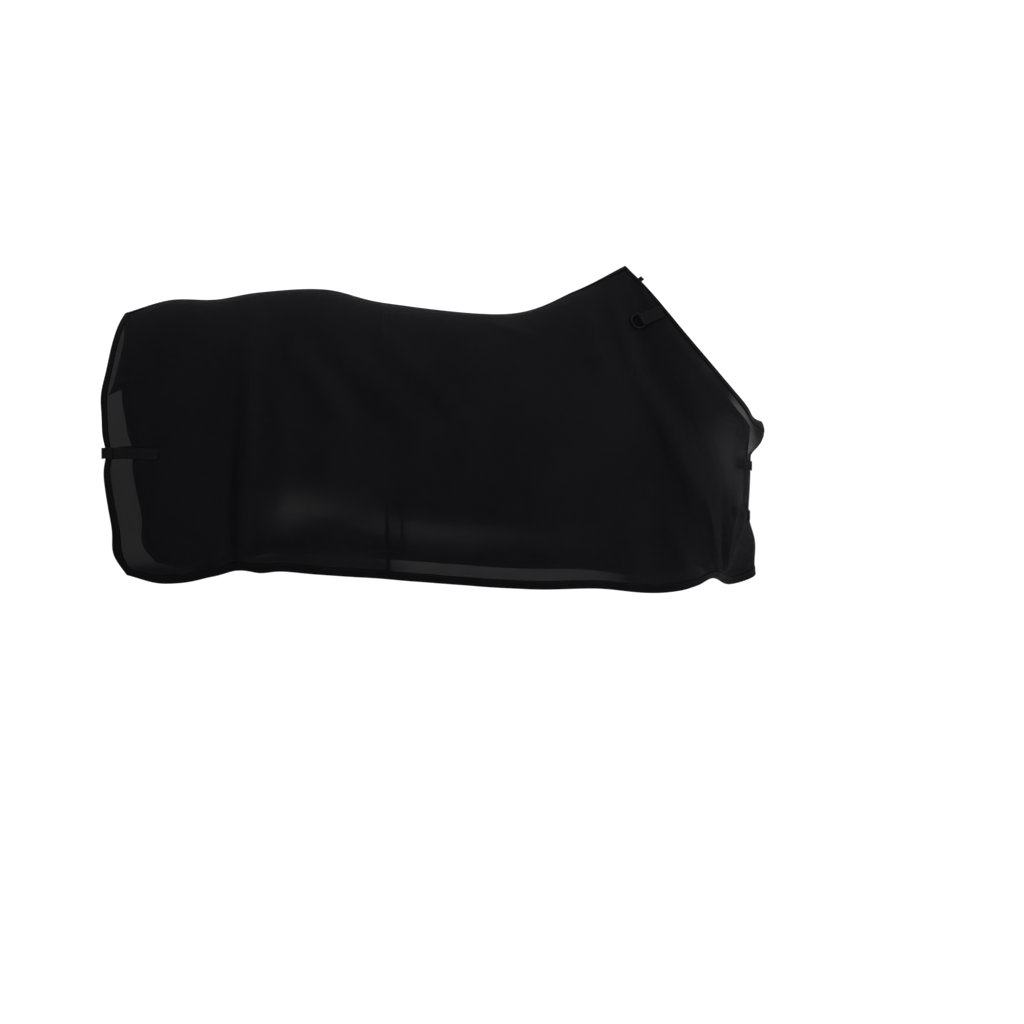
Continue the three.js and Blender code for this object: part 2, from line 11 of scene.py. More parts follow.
import bmesh
import bpy
import numpy as np
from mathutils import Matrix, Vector


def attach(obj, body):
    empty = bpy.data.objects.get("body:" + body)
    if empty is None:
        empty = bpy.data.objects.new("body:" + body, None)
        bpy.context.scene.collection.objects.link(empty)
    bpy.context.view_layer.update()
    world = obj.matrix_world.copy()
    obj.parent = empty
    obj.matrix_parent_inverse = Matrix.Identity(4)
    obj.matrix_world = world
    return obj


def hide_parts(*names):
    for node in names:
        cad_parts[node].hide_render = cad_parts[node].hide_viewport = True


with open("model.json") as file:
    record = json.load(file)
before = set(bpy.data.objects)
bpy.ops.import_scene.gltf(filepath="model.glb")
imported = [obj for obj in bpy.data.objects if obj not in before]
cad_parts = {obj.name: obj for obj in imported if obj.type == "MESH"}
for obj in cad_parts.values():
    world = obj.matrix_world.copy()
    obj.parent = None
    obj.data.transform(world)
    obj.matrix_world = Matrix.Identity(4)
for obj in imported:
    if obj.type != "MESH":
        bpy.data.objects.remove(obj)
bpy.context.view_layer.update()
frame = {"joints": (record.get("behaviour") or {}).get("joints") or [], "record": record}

# %% [markdown]
# ## Camera
# The sheet is seen square from the horse's right side. A long lens from nearly five metres keeps the far
# side almost the same size as the near one, and the camera looks very slightly down.

# %% Camera
CAMERA_PLACE = (-0.299, -4.85, -0.392)
CAMERA_TILT = radians(86.97)
LENS = 64.3
camera_data = bpy.data.cameras.new("camera")
camera_data.lens = LENS
camera_data.sensor_width = 36
camera = bpy.data.objects.new("camera", camera_data)
camera.location = CAMERA_PLACE
camera.rotation_euler = (CAMERA_TILT, 0, 0)
bpy.context.scene.collection.objects.link(camera)
bpy.context.scene.camera = camera

# %% [markdown]
# ## Floor, backdrop and light
# A pale floor lies where the horse's hooves would stand. The world is white, and three large soft lights
# shape the black cloth: one overhead, one from the front of the horse and one from behind the camera.

# %% Floor and lights
FLOOR_HEIGHT = -1.62
FLOOR_SIZE = 60
FLOOR_COLOUR = (0.93, 0.93, 0.93, 1)
WORLD_STRENGTH = 1.1
# where each light stands, where it aims, its size and its power
LIGHTS = {
    "overhead_light": ((-0.5, -0.6, 3.2), (-0.5, 0, -0.5), 3.5, 90),
    "front_light": ((3.4, -1.6, 0.9), (0.2, 0, -0.6), 1.6, 170),
    "camera_side_light": ((-2.6, -4.4, 1.4), (-0.5, 0, -0.4), 2.0, 50),
}
scene = bpy.context.scene
scene.view_settings.view_transform = "Standard"


def named_material(name):
    material = bpy.data.materials.new(name)
    material.use_nodes = True
    return material, material.node_tree


def set_inputs(node_made, values):
    for key, value in values.items():
        node_made.inputs[key].default_value = value


floor_mesh = bmesh.new()
bmesh.ops.create_grid(floor_mesh, x_segments=1, y_segments=1, size=FLOOR_SIZE)
bmesh.ops.translate(floor_mesh, verts=floor_mesh.verts, vec=(0, 0, FLOOR_HEIGHT))
floor_data = bpy.data.meshes.new("floor")
floor_mesh.to_mesh(floor_data)
floor_mesh.free()
floor = bpy.data.objects.new("floor", floor_data)
scene.collection.objects.link(floor)
floor_material, tree = named_material("pale_floor")
matt = {"Base Color": FLOOR_COLOUR, "Roughness": 0.9, "Specular IOR Level": 0.0}
set_inputs(tree.nodes["Principled BSDF"], matt)
floor_data.materials.append(floor_material)

world = bpy.data.worlds.new("white_room")
world.use_nodes = True
set_inputs(world.node_tree.nodes["Background"], {"Color": (1, 1, 1, 1), "Strength": WORLD_STRENGTH})
scene.world = world


def soft_light(name, place, aim, size, power):
    data = bpy.data.lights.new(name, "AREA")
    data.shape = "SQUARE"
    data.size = size
    data.energy = power
    light = bpy.data.objects.new(name, data)
    light.location = place
    light.rotation_euler = (Vector(aim) - Vector(place)).to_track_quat("-Z", "Y").to_euler()
    scene.collection.objects.link(light)


for light_name, (place, aim, size, power) in LIGHTS.items():
    soft_light(light_name, place, aim, size, power)

# %% [markdown]
# ## The drape
# On a horse the sheet follows ribs that run from the top edge down to the hem. Each rib is a Bezier curve
# with four points, and smooth curves through the ribs' points carry the shape from tail to chest. One
# function then gives any point of the cloth, so panels, tape, straps and stitches all lie on one surface.
# At the chest the right front laps over the left, and its top corner flares forward, away from the horse.

# %% Ribs of the drape
RIBS = np.array([
    [[-1318, 0, -124], [-1352, 120, -190], [-1385, 190, -560], [-1272, 210, -795]],  # rear edge
    [[-1200, 0, -91], [-1205, 170, -100], [-1215, 265, -400], [-1143, 250, -812]],  # buttock
    [[-1080, 0, -90], [-1080, 200, -92], [-1080, 300, -350], [-1050, 275, -795]],  # croup
    [[-960, 0, -71], [-960, 210, -70], [-965, 325, -340], [-960, 290, -777]],  # hip
    [[-790, 0, -64], [-790, 215, -62], [-785, 325, -340], [-785, 300, -787]],  # loin
    [[-628, 0, -100], [-626, 215, -101], [-615, 325, -350], [-607, 300, -800]],  # flank seam
    [[-310, 0, -128], [-306, 205, -122], [-300, 335, -370], [-299, 305, -822]],  # barrel
    [[-130, 0, -66], [-128, 140, -75], [-110, 330, -360], [-100, 290, -824]],  # girth
    [[0, 0, 0], [5, 85, -60], [30, 325, -400], [42, 262, -838]],  # withers
    [[60, 85, -72], [80, 150, -160], [105, 315, -470], [120, 243, -834]],  # neck top
    [[150, 150, -189], [165, 200, -270], [185, 290, -560], [170, 215, -822]],  # neck side
    [[235, 158, -290], [258, 195, -370], [290, 235, -620], [215, 172, -806]],  # neck low
    [[300, 115, -362], [316, 140, -440], [319, 140, -650], [268, 95, -832]],  # chest side
    [[328, 38, -405], [320, 45, -540], [310, 45, -680], [334, 38, -815]],  # chest middle
    [[330, -35, -425], [319, -35, -540], [309, -35, -680], [334, -35, -803]],  # front edge
]) / 1000
LAST = len(RIBS) - 1
SEAM_RIB = 5
WITHERS_RIB = 8
SEAM_AT = SEAM_RIB / LAST
WITHERS_AT = WITHERS_RIB / LAST
LAP_FROM = (LAST - 2.5) / LAST
LAP_FULL = (LAST - 1.5) / LAST
LAP_LIFT = 0.0038
FLARE_FROM = (LAST - 2) / LAST
FLARE_ROUNDNESS = 1.3
FLARE_OUT = 0.040
FLARE_TOP = -0.385
FLARE_BOTTOM = -0.505
RIGHT = -1
LEFT = 1
SIDES = {"right": RIGHT, "left": LEFT}


def smoothstep(x, low, high):
    s = np.clip((x - low) / (high - low), 0, 1)
    return s * s * (3 - 2 * s)


def smooth_curve(points, u):
    """The Catmull-Rom curve through the points, at each u from 0 to 1."""
    before = 2 * points[0] - points[1]
    after = 2 * points[-1] - points[-2]
    p = np.vstack([before, points, after])
    span = np.clip(u, 0, 1) * (len(points) - 1)
    i = np.minimum(span.astype(int), len(points) - 2)
    f = (span - i)[:, None]
    p0, p1, p2, p3 = p[i], p[i + 1], p[i + 2], p[i + 3]
    cubic = (3 * p1 - p0 - 3 * p2 + p3) * f ** 3
    return (2 * p1 + (p2 - p0) * f + (2 * p0 - 5 * p1 + 4 * p2 - p3) * f ** 2 + cubic) / 2


def rib_points(u):
    """The four Bezier points of the rib at each u."""
    u = np.atleast_1d(np.asarray(u, float))
    back = smooth_curve(RIBS[:WITHERS_RIB + 1, 0], u / WITHERS_AT)
    neck = smooth_curve(RIBS[WITHERS_RIB:, 0], (u - WITHERS_AT) / (1 - WITHERS_AT))
    top = np.where((u < WITHERS_AT)[:, None], back, neck)
    return [top] + [smooth_curve(RIBS[:, k], u) for k in (1, 2, 3)]


def paired(u, t):
    """u and t as rows of numbers of the same length."""
    return (np.asarray(v, float) for v in np.broadcast_arrays(np.atleast_1d(u), np.atleast_1d(t)))


def draped(side, u, t):
    """The cloth's own surface: u from the rear edge to the front, t from the top edge to the hem."""
    u, t = paired(u, t)
    a, b, c, d = rib_points(u)
    s = np.clip(t, 0, 1)[:, None]
    point = a * (1 - s) ** 3 + 3 * b * s * (1 - s) ** 2 + 3 * c * s ** 2 * (1 - s) + d * s ** 3
    point[:, 0] -= side * LAP_LIFT * smoothstep(u, LAP_FROM, LAP_FULL)
    if side == RIGHT:
        along = np.clip((point[:, 2] - FLARE_TOP) / (FLARE_BOTTOM - FLARE_TOP), 0, 1)
        bulge = np.sin(pi * along) ** FLARE_ROUNDNESS
        point[:, 0] += FLARE_OUT * smoothstep(u, FLARE_FROM, 1) * bulge
    point[:, 1] *= side
    return point


def unit(vectors):
    return vectors / np.linalg.norm(vectors, axis=-1, keepdims=True)


STEP = 1e-3


def outward(side, u, t):
    """The way that points out from the horse, square to the cloth."""
    u = np.clip(u, STEP, 1 - STEP)
    t = np.clip(t, STEP, 1 - STEP)
    along = draped(side, u + STEP, t) - draped(side, u - STEP, t)
    down = draped(side, u, t + STEP) - draped(side, u, t - STEP)
    return unit(np.cross(along, down) * side)


lowest = draped(RIGHT, np.linspace(0, 1, 200), 1.0)[:, 2].min()
print("lowest point of the hem", round(lowest, 4))

# %% [markdown]
# ## Folds
# Light mesh shows where it hangs from a bone or is drawn in by a strap. A long fold drops from the hip, soft
# slants cross the flank, a line runs down from the shoulder, and sharp folds fan out above the notch in the
# hem at the chest. Each is a ridge with a rounded section laid along a line, measured as a height off the
# drape. Long shallow waves on top keep the plain stretches from looking like a sheet of metal.

# %% Fold heights
# start and end are X and Z, then half-width and height; a negative height is a groove
CREASES = [
    ((-0.950, -0.13), (-0.978, -0.76), 0.020, 0.0085),
    ((-0.972, -0.30), (-1.000, -0.79), 0.011, -0.0105),
    ((-1.030, -0.45), (-1.040, -0.78), 0.030, 0.0050),
    ((-1.150, -0.425), (-0.800, -0.382), 0.007, -0.0030),
    ((-1.150, -0.440), (-0.800, -0.397), 0.014, 0.0030),
    ((-0.880, -0.19), (-0.700, -0.43), 0.028, 0.0050),
    ((-0.820, -0.19), (-0.640, -0.41), 0.022, -0.0040),
    ((-0.735, -0.20), (-0.500, -0.47), 0.030, 0.0055),
    ((-0.650, -0.17), (-0.380, -0.44), 0.024, 0.0040),
    ((-0.364, -0.155), (-0.230, -0.200), 0.010, 0.0035),
    ((-0.050, -0.09), (0.012, -0.27), 0.018, 0.0050),
    ((0.012, -0.27), (0.190, -0.65), 0.024, 0.0060),
    ((0.050, -0.25), (0.230, -0.58), 0.026, -0.0045),
    ((-0.120, -0.10), (-0.060, -0.32), 0.024, 0.0040),
    ((0.232, -0.795), (0.188, -0.600), 0.009, 0.0060),
    ((0.240, -0.790), (0.238, -0.570), 0.008, -0.0060),
    ((0.245, -0.790), (0.278, -0.560), 0.010, 0.0075),
    ((0.252, -0.790), (0.306, -0.640), 0.008, 0.0060),
    ((0.150, -0.800), (0.090, -0.660), 0.020, 0.0050),
    ((0.262, -0.440), (0.330, -0.462), 0.010, 0.0050),
    ((-0.560, -0.62), (-0.560, -0.80), 0.050, 0.0040),
    ((-0.250, -0.60), (-0.210, -0.82), 0.060, 0.0045),
]
# wave numbers along X and Z, phase, height at the hem
WAVES = [
    (13.0, 2.1, 0.3, 0.0032), (21.0, -4.2, 1.9, 0.0024), (34.0, 3.3, 4.1, 0.0016),
    (55.0, -7.0, 2.6, 0.0009), (8.0, 27.0, 0.9, 0.0007), (-17.0, 39.0, 5.2, 0.0005),
]
# how far the cloth is drawn from its plain drape, then the middle and the reach of the place, in Z
STRAP_PULL = (0.010, -0.490, 0.035)
CORNER_BACK = (0.017, -0.745, 0.045)
RUMP_OUT = (0.007, -0.340, 0.050)
FAR_CORNER_BACK = (0.012, -0.760, 0.080)
CHEST_FORWARD = (0.016, -0.725, 0.055)
# the same, with the middle and the reach in X or as a share of the length
HEM_DROP = (0.008, -0.930, 0.035)
CORNER_DOWN = (0.009, 0.035, 0.028)
FAR_CORNER_DOWN = (0.008, 0.060, 0.050)
STRAP_REACH = 0.04
REAR_REACH = 0.035
NEAR_HEM = (0.8, 1.0)
FAR_HEM = (0.7, 1.0)
CORNER_LIFT = 0.012
CORNER_FROM = 0.9
CORNER_DEPTH = 0.15
CHEST_FROM = (0.88, 0.96)
FRONT_CALM = 0.6
FOLD_STRENGTH = 1.4
CREASE_FADE = (-0.15, 0.25)
LEAST_LOOSE = 0.25
LOOSE_FROM = (0.2, 1.0)
HELD_DEPTH = 0.12
LEFT_FOLD_SHARE = 0.75
LEFT_WAVE_PHASE = 1.3


def crease(x, z, start, end, half_width, height):
    dx, dz = end[0] - start[0], end[1] - start[1]
    s = np.clip(((x - start[0]) * dx + (z - start[1]) * dz) / (dx * dx + dz * dz), 0, 1)
    away = np.hypot(x - start[0] - s * dx, z - start[1] - s * dz)
    ends = smoothstep(s, *CREASE_FADE) * smoothstep(1 - s, *CREASE_FADE)
    return height * ends * np.exp(-(away / half_width) ** 2)


def fold_height(side, point, t):
    x, z = point[:, 0], point[:, 2]
    strength = FOLD_STRENGTH if side == RIGHT else LEFT_FOLD_SHARE * FOLD_STRENGTH
    height = sum(strength * crease(x, z, *line) for line in CREASES)
    phase = 0.0 if side == RIGHT else LEFT_WAVE_PHASE
    loose = LEAST_LOOSE + (1 - LEAST_LOOSE) * smoothstep(t, *LOOSE_FROM)
    for along, down, start, size in WAVES:
        height = height + size * loose * np.sin(along * x + down * z + start + phase)
    return height * smoothstep(t, 0.0, HELD_DEPTH)


def drawn(at, amount, middle, reach):
    return amount * np.exp(-((at - middle) / reach) ** 2)


def cloth(side, u, t, lift=0.0):
    """A point of the folded cloth, lifted off it by a height."""
    u, t = paired(u, t)
    base = draped(side, u, t)
    x, z = base[:, 0], base[:, 2]
    calm = 1 - FRONT_CALM * smoothstep(u, CORNER_FROM, 1.0)
    raised = fold_height(side, base, t) * calm + lift
    point = base + outward(side, u, t) * np.reshape(raised, (-1, 1))
    near_rear = np.exp(-u / REAR_REACH)
    near_hem = smoothstep(t, *NEAR_HEM)
    point[:, 0] += drawn(z, *STRAP_PULL) * np.exp(-u / STRAP_REACH)
    point[:, 0] -= (drawn(z, *CORNER_BACK) + drawn(z, *RUMP_OUT)) * near_rear
    point[:, 2] -= (drawn(u, *CORNER_DOWN) + drawn(x, *HEM_DROP)) * near_hem
    if side == RIGHT:
        top = 1 - smoothstep(t, 0.0, CORNER_DEPTH)
        point[:, 2] += CORNER_LIFT * smoothstep(u, CORNER_FROM, 1.0) * top
    if side == LEFT:
        point[:, 0] -= drawn(z, *FAR_CORNER_BACK) * near_rear
        point[:, 2] -= drawn(u, *FAR_CORNER_DOWN) * smoothstep(t, *FAR_HEM)
    point[:, 0] += drawn(z, *CHEST_FORWARD) * smoothstep(u, *CHEST_FROM)
    return point


# %% [markdown]
# ## One helper for everything that is cloth
# A woven piece starts as a flat grid, as it would on the cutting table. The grid is laid onto the drape by a
# function, and its UV map keeps the flat lengths in metres, so that knit and ribs stay the right size and
# follow the cloth. A strap is the same grid rolled round its own section and joined at the seam.

# %% Grid and strap helpers
def finish_piece(name, bm, material, recalc=True):
    if recalc:
        bmesh.ops.recalc_face_normals(bm, faces=bm.faces)
    for face in bm.faces:
        face.smooth = True
    data = bpy.data.meshes.new(name)
    bm.to_mesh(data)
    bm.free()
    data.materials.append(material)
    piece = bpy.data.objects.new(name, data)
    scene.collection.objects.link(piece)
    return piece


def dress(piece, body, replaced=None):
    """Fixes a piece to a body of the frame, in place of one CAD node."""
    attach(piece, body)
    if replaced:
        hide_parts(replaced)
    return piece


def laid_grid(columns, rows, place):
    """A flat grid moved onto place(a, b), which gives points and flat lengths; a and b are 0 to 1."""
    bm = bmesh.new()
    uv = bm.loops.layers.uv.new("UVMap")
    bmesh.ops.create_grid(bm, x_segments=columns, y_segments=rows, size=0.5)
    flat = np.array([v.co for v in bm.verts])
    low, high = flat.min(0), flat.max(0)
    a = (flat[:, 0] - low[0]) / (high[0] - low[0])
    b = (flat[:, 1] - low[1]) / (high[1] - low[1])
    points, lengths = place(a, b)
    for vert, point in zip(bm.verts, points):
        vert.co = point
    for face in bm.faces:
        for loop in face.loops:
            loop[uv].uv = lengths[loop.vert.index]
    return bm


def add_thickness(piece, thickness):
    wall = piece.modifiers.new("thickness", "SOLIDIFY")
    wall.thickness = thickness
    wall.offset = 0


def path_lengths(path):
    return np.concatenate([[0], np.cumsum(np.linalg.norm(np.diff(path, axis=0), axis=1))])


def tangents(path, closed):
    if closed:
        ring = path[:-1]
        along = np.roll(ring, -1, axis=0) - np.roll(ring, 1, axis=0)
        return unit(np.vstack([along, along[:1]]))
    return unit(np.gradient(path, axis=0))


def swept(path, across, section, closed=False, end_scale=None):
    """A section carried along a path. section is (k, 2): along across and along outward."""
    out = unit(np.cross(tangents(path, closed), across))
    lengths = path_lengths(path)
    around = path_lengths(section)
    scale = np.ones(len(path)) if end_scale is None else end_scale

    def place(a, b):
        i = np.rint(a * (len(path) - 1)).astype(int)
        j = np.rint(b * (len(section) - 1)).astype(int)
        side_part = across[i] * (section[j, 0] * scale[i])[:, None]
        out_part = out[i] * (section[j, 1] * scale[i])[:, None]
        return path[i] + side_part + out_part, np.column_stack([lengths[i], around[j]])

    bm = laid_grid(len(path) - 1, len(section) - 1, place)
    bmesh.ops.remove_doubles(bm, verts=bm.verts, dist=1e-6)
    rims = [e for e in bm.edges if e.is_boundary]
    if rims:
        bmesh.ops.holes_fill(bm, edges=rims, sides=0)
    return bm


def round_section(radius, sides=12):
    angle = np.linspace(0, 2 * pi, sides + 1)
    return radius * np.column_stack([np.cos(angle), np.sin(angle)])


POINTS_PER_RIB = 4
SELVEDGE_ROUNDNESS = 12
RIB_FADE = 8


def webbing_section(width, thickness, ribs, rib_height=0.00012):
    """Flat webbing with rounded selvedges and fine lengthwise ribs."""
    x = np.linspace(-1, 1, POINTS_PER_RIB * ribs + 1)
    body = thickness / 2 * (1 - np.abs(x) ** SELVEDGE_ROUNDNESS) ** 0.5
    rib = rib_height * np.cos(2 * pi * ribs * (x + 1) / 2) * (1 - np.abs(x) ** RIB_FADE)
    top = np.column_stack([x * width / 2, body - rib])
    under = np.column_stack([x[::-1] * width / 2, -(body - rib)[::-1]])
    return np.vstack([top, under[1:]])


def read_along(at, lengths, rows):
    return np.column_stack([np.interp(at, lengths, rows[:, k]) for k in range(3)])


def evenly(path, spacing):
    """The same path with its points a fixed distance apart."""
    lengths = path_lengths(path)
    at = np.linspace(0, lengths[-1], max(int(lengths[-1] / spacing), 8) + 1)
    return read_along(at, lengths, path)


# %% [markdown]
# ## Knitted mesh
# Fly sheets are warp-knitted from polyester yarn, with rows of small holes. The holes are drawn from two
# crossed waves on the UV map. They set the bump, let a little light through, and darken the colour as
# painted shade in the holes, while a slow noise gives the faint dusty clouding that black mesh always has.
# An attribute says how open the knit is, with painted glow over the flank, belly and chest and painted shade
# at the edges.

# %% Mesh material
def node(tree, kind, **settings):
    made = tree.nodes.new(kind)
    for key, value in settings.items():
        setattr(made, key, value)
    return made


def number(tree, operation, first, second=None):
    made = node(tree, "ShaderNodeMath", operation=operation)
    for k, value in enumerate((first, second)):
        if value is None:
            continue
        if isinstance(value, (int, float)):
            made.inputs[k].default_value = value
        else:
            tree.links.new(value, made.inputs[k])
    return made.outputs[0]


def map_range(tree, value, low, high, to_low, to_high, kind="SMOOTHSTEP"):
    made = node(tree, "ShaderNodeMapRange", interpolation_type=kind)
    tree.links.new(value, made.inputs["Value"])
    set_inputs(made, {"From Min": low, "From Max": high, "To Min": to_low, "To Max": to_high})
    return made.outputs["Result"]


def mixed_colour(tree, factor, first, second):
    made = node(tree, "ShaderNodeMix", data_type="RGBA")
    tree.links.new(factor, made.inputs["Factor"])
    for key, colour in (("A", first), ("B", second)):
        socket = [s for s in made.inputs if s.name == key and s.type == "RGBA"][0]
        if isinstance(colour, tuple):
            socket.default_value = colour
        else:
            tree.links.new(colour, socket)
    return [s for s in made.outputs if s.type == "RGBA"][0]


def bump(tree, height, strength, distance, before=None):
    made = node(tree, "ShaderNodeBump")
    set_inputs(made, {"Strength": strength, "Distance": distance})
    tree.links.new(height, made.inputs["Height"])
    if before is not None:
        tree.links.new(before, made.inputs["Normal"])
    return made.outputs["Normal"]


def noise_at(tree, vector, scale, detail=3.0):
    made = node(tree, "ShaderNodeTexNoise")
    set_inputs(made, {"Scale": scale, "Detail": detail})
    tree.links.new(vector, made.inputs["Vector"])
    return made.outputs["Fac"]


def uv_waves(tree, along_period, across_period):
    """Two sine waves along and across the UV map, and the map's vector."""
    uv = node(tree, "ShaderNodeUVMap", uv_map="UVMap").outputs["UV"]
    split = node(tree, "ShaderNodeSeparateXYZ")
    tree.links.new(uv, split.inputs[0])
    waves = []
    for axis, period in (("X", along_period), ("Y", across_period)):
        turns = number(tree, "MULTIPLY", split.outputs[axis], 2 * pi / period)
        waves.append(number(tree, "SINE", turns))
    return waves[0], waves[1], uv


HOLE_PITCH = 0.0021
HOLE_STRETCH = 1.25
DARK_YARN = (0.0018, 0.0018, 0.0024, 1)
DUSTY_YARN = (0.0040, 0.0040, 0.0048, 1)
# painted shade: the knit's holes are coloured darker than the yarn
HOLE_SHADE_COLOUR = (0.0010, 0.0010, 0.0013, 1)
mesh_material, tree = named_material("knitted_mesh")
shader = tree.nodes["Principled BSDF"]
set_inputs(shader, {"Roughness": 0.8, "Specular IOR Level": 0.02})
set_inputs(shader, {"Sheen Weight": 0.004, "Sheen Roughness": 0.4})
along_wave, across_wave, uv = uv_waves(tree, HOLE_PITCH, HOLE_PITCH * HOLE_STRETCH)
knit = number(tree, "MULTIPLY", along_wave, across_wave)
hole = map_range(tree, knit, 0.1, 0.7, 0.0, 1.0)
clouding = noise_at(tree, uv, 5.0, 4.0)
yarn = mixed_colour(tree, clouding, DARK_YARN, DUSTY_YARN)
# painted shade in the holes
colour = mixed_colour(tree, hole, yarn, HOLE_SHADE_COLOUR)
tree.links.new(colour, shader.inputs["Base Color"])
# painted glow and painted shade: the knit's openness is laid in by place, letting more or less white world
# through
knit_openness_and_painted_light = node(tree, "ShaderNodeAttribute", attribute_name="knit_openness_and_painted_light").outputs["Fac"]
let_through = map_range(tree, hole, 0.0, 1.0, 0.7, 1.7, "LINEAR")
clear = number(tree, "MULTIPLY", knit_openness_and_painted_light, let_through)
tree.links.new(number(tree, "SUBTRACT", 1.0, clear), shader.inputs["Alpha"])
relief = number(tree, "SUBTRACT", 1.0, hole)
tree.links.new(bump(tree, relief, 0.35, 0.0003), shader.inputs["Normal"])

# %% [markdown]
# ## Tape, webbing, thread and steel
# The binding is a narrow woven tape, slightly shinier than the mesh, with fine ribs across it. Webbing is
# thicker, with a herringbone that turns at every rib. The rings and buckles are steel with a black coat,
# worn a little towards grey where straps rub.

# %% Tape, webbing, thread and steel materials
def woven_material(name, dark, light, along_period, across_period, bump_height, shine, sheen):
    material, tree = named_material(name)
    shader = tree.nodes["Principled BSDF"]
    set_inputs(shader, {"Roughness": 0.62, "Specular IOR Level": shine, "Sheen Weight": sheen})
    along, across, uv = uv_waves(tree, along_period, across_period)
    weave = number(tree, "MULTIPLY", along, across)
    raised = map_range(tree, weave, -0.8, 0.8, 0.0, 1.0)
    wear = noise_at(tree, uv, 22.0, 4.0)
    # painted highlight and shade: raised threads lighter and the grooves between them darker, broken up by a
    # noise of wear
    raised_thread_highlight_and_wear = number(tree, "MULTIPLY", raised, wear)
    tree.links.new(mixed_colour(tree, raised_thread_highlight_and_wear, dark, light), shader.inputs["Base Color"])
    tree.links.new(bump(tree, raised, 0.45, bump_height), shader.inputs["Normal"])
    return material


tape_material = woven_material(
    "binding_tape", dark=(0.0008, 0.0008, 0.0010, 1), light=(0.0026, 0.0026, 0.0031, 1),
    along_period=0.0011, across_period=0.0016, bump_height=0.0002, shine=0.02, sheen=0.002)
webbing_material = woven_material(
    "webbing", dark=(0.0010, 0.0010, 0.0012, 1), light=(0.0045, 0.0045, 0.0052, 1),
    along_period=0.0022, across_period=0.0031, bump_height=0.0004, shine=0.03, sheen=0.004)

thread_material, tree = named_material("stitching_thread")
shader = tree.nodes["Principled BSDF"]
set_inputs(shader, {"Roughness": 0.5, "Specular IOR Level": 0.05})
place_node = node(tree, "ShaderNodeTexCoord").outputs["Object"]
fuzz = noise_at(tree, place_node, 900.0, 2.0)
dark_thread = (0.0020, 0.0020, 0.0024, 1)
pale_thread = (0.0060, 0.0060, 0.0070, 1)
thread_colour = mixed_colour(tree, fuzz, dark_thread, pale_thread)
tree.links.new(thread_colour, shader.inputs["Base Color"])

steel_material, tree = named_material("black_coated_steel")
shader = tree.nodes["Principled BSDF"]
set_inputs(shader, {"Specular IOR Level": 0.06})
place_node = node(tree, "ShaderNodeTexCoord").outputs["Object"]
rub = noise_at(tree, place_node, 160.0, 5.0)
worn = map_range(tree, rub, 0.55, 0.75, 0.0, 1.0)
black_coat = (0.0010, 0.0010, 0.0011, 1)
rubbed_coat = (0.0050, 0.0050, 0.0053, 1)
coat_colour = mixed_colour(tree, worn, black_coat, rubbed_coat)
tree.links.new(coat_colour, shader.inputs["Base Color"])
tree.links.new(map_range(tree, rub, 0.3, 0.8, 0.32, 0.55, "LINEAR"), shader.inputs["Roughness"])
grain = noise_at(tree, place_node, 700.0, 2.0)
tree.links.new(bump(tree, grain, 0.12, 0.0002), shader.inputs["Normal"])

# %% [markdown]
# ## Panels
# Each side is cut in two pieces that meet at the flank. The grid's columns are spread evenly over the
# sheet's length, not over the ribs, so the folds have the same fineness everywhere. The cloth reaches into
# its bindings, as it does under a folded tape, and is drawn as one layer that is given its thickness last.

# %% Panels
MESH_THICKNESS = 0.0012
BINDING_WIDTH = 0.020
SEAM_TAPE_HALF = 0.014
HIDDEN_EDGE = 0.0015
GRID_FINENESS = 0.0075


def top_share(u, width):
    top, high, _, _ = rib_points(u)
    return width / (3 * np.linalg.norm(high - top, axis=1))


def hem_share(u, width):
    _, _, low, hem = rib_points(u)
    return width / (3 * np.linalg.norm(hem - low, axis=1))


def end_share(side, u, t, width):
    inner = np.clip(u, STEP, 1 - STEP)
    span = draped(side, inner + STEP, t) - draped(side, inner - STEP, t)
    return 2 * STEP * width / np.linalg.norm(span, axis=1)


ALL_U = np.linspace(0, 1, 2001)
MIDDLE_HEIGHT = 0.55
LENGTH_AT = path_lengths(draped(LEFT, ALL_U, MIDDLE_HEIGHT))
rib_samples = np.array([draped(LEFT, ALL_U[::20], s) for s in np.linspace(0, 1, 41)])
RIB_LENGTH = np.linalg.norm(np.diff(rib_samples, axis=0), axis=2).sum(axis=0)


def u_at_length(length):
    return np.interp(length, LENGTH_AT, ALL_U)


def length_at_u(u):
    return np.interp(u, ALL_U, LENGTH_AT)


def rib_length(u):
    return np.interp(u, ALL_U[::20], RIB_LENGTH)


# Painted glow and painted shade in the knit: places made more open, over the flank, the belly and the chest,
# or less open, at the hem and the neck edge: middle X and Z, reach each way, and how open
PAINTED_GLOW_AND_SHADE_PLACES = [
    (-0.905, -0.655, 0.060, 0.065, 0.080), (-0.840, -0.620, 0.065, 0.050, 0.050),
    (-0.763, -0.635, 0.060, 0.035, 0.065), (-0.660, -0.680, 0.070, 0.030, 0.095),
    (-0.550, -0.704, 0.080, 0.027, 0.105), (-0.430, -0.714, 0.090, 0.026, 0.100),
    (-0.250, -0.718, 0.130, 0.024, 0.085), (-0.925, -0.500, 0.022, 0.170, 0.055),
    (0.240, -0.460, 0.070, 0.110, 0.050), (0.285, -0.550, 0.036, 0.160, 0.120),
    (-0.890, -0.765, 0.070, 0.028, -0.060), (-0.750, -0.775, 0.100, 0.030, -0.100),
    (0.080, -0.790, 0.100, 0.050, -0.030), (-1.180, -0.815, 0.140, 0.035, -0.040),
    (0.045, -0.170, 0.085, 0.085, -0.030), (0.130, -0.260, 0.060, 0.060, -0.020),
    (0.225, -0.345, 0.055, 0.050, -0.050), (0.345, -0.415, 0.040, 0.050, -0.030),
]
CLOSEST_KNIT = 0.001
PLAIN_KNIT = 0.014
SHADED_RIDGE_WIDTH = (0.03, 0.10)
SHADED_RIDGE_HEIGHT = (-0.20, -0.15)
PANEL_DEPTH = 0.95
FLANK_LAP = 0.0015


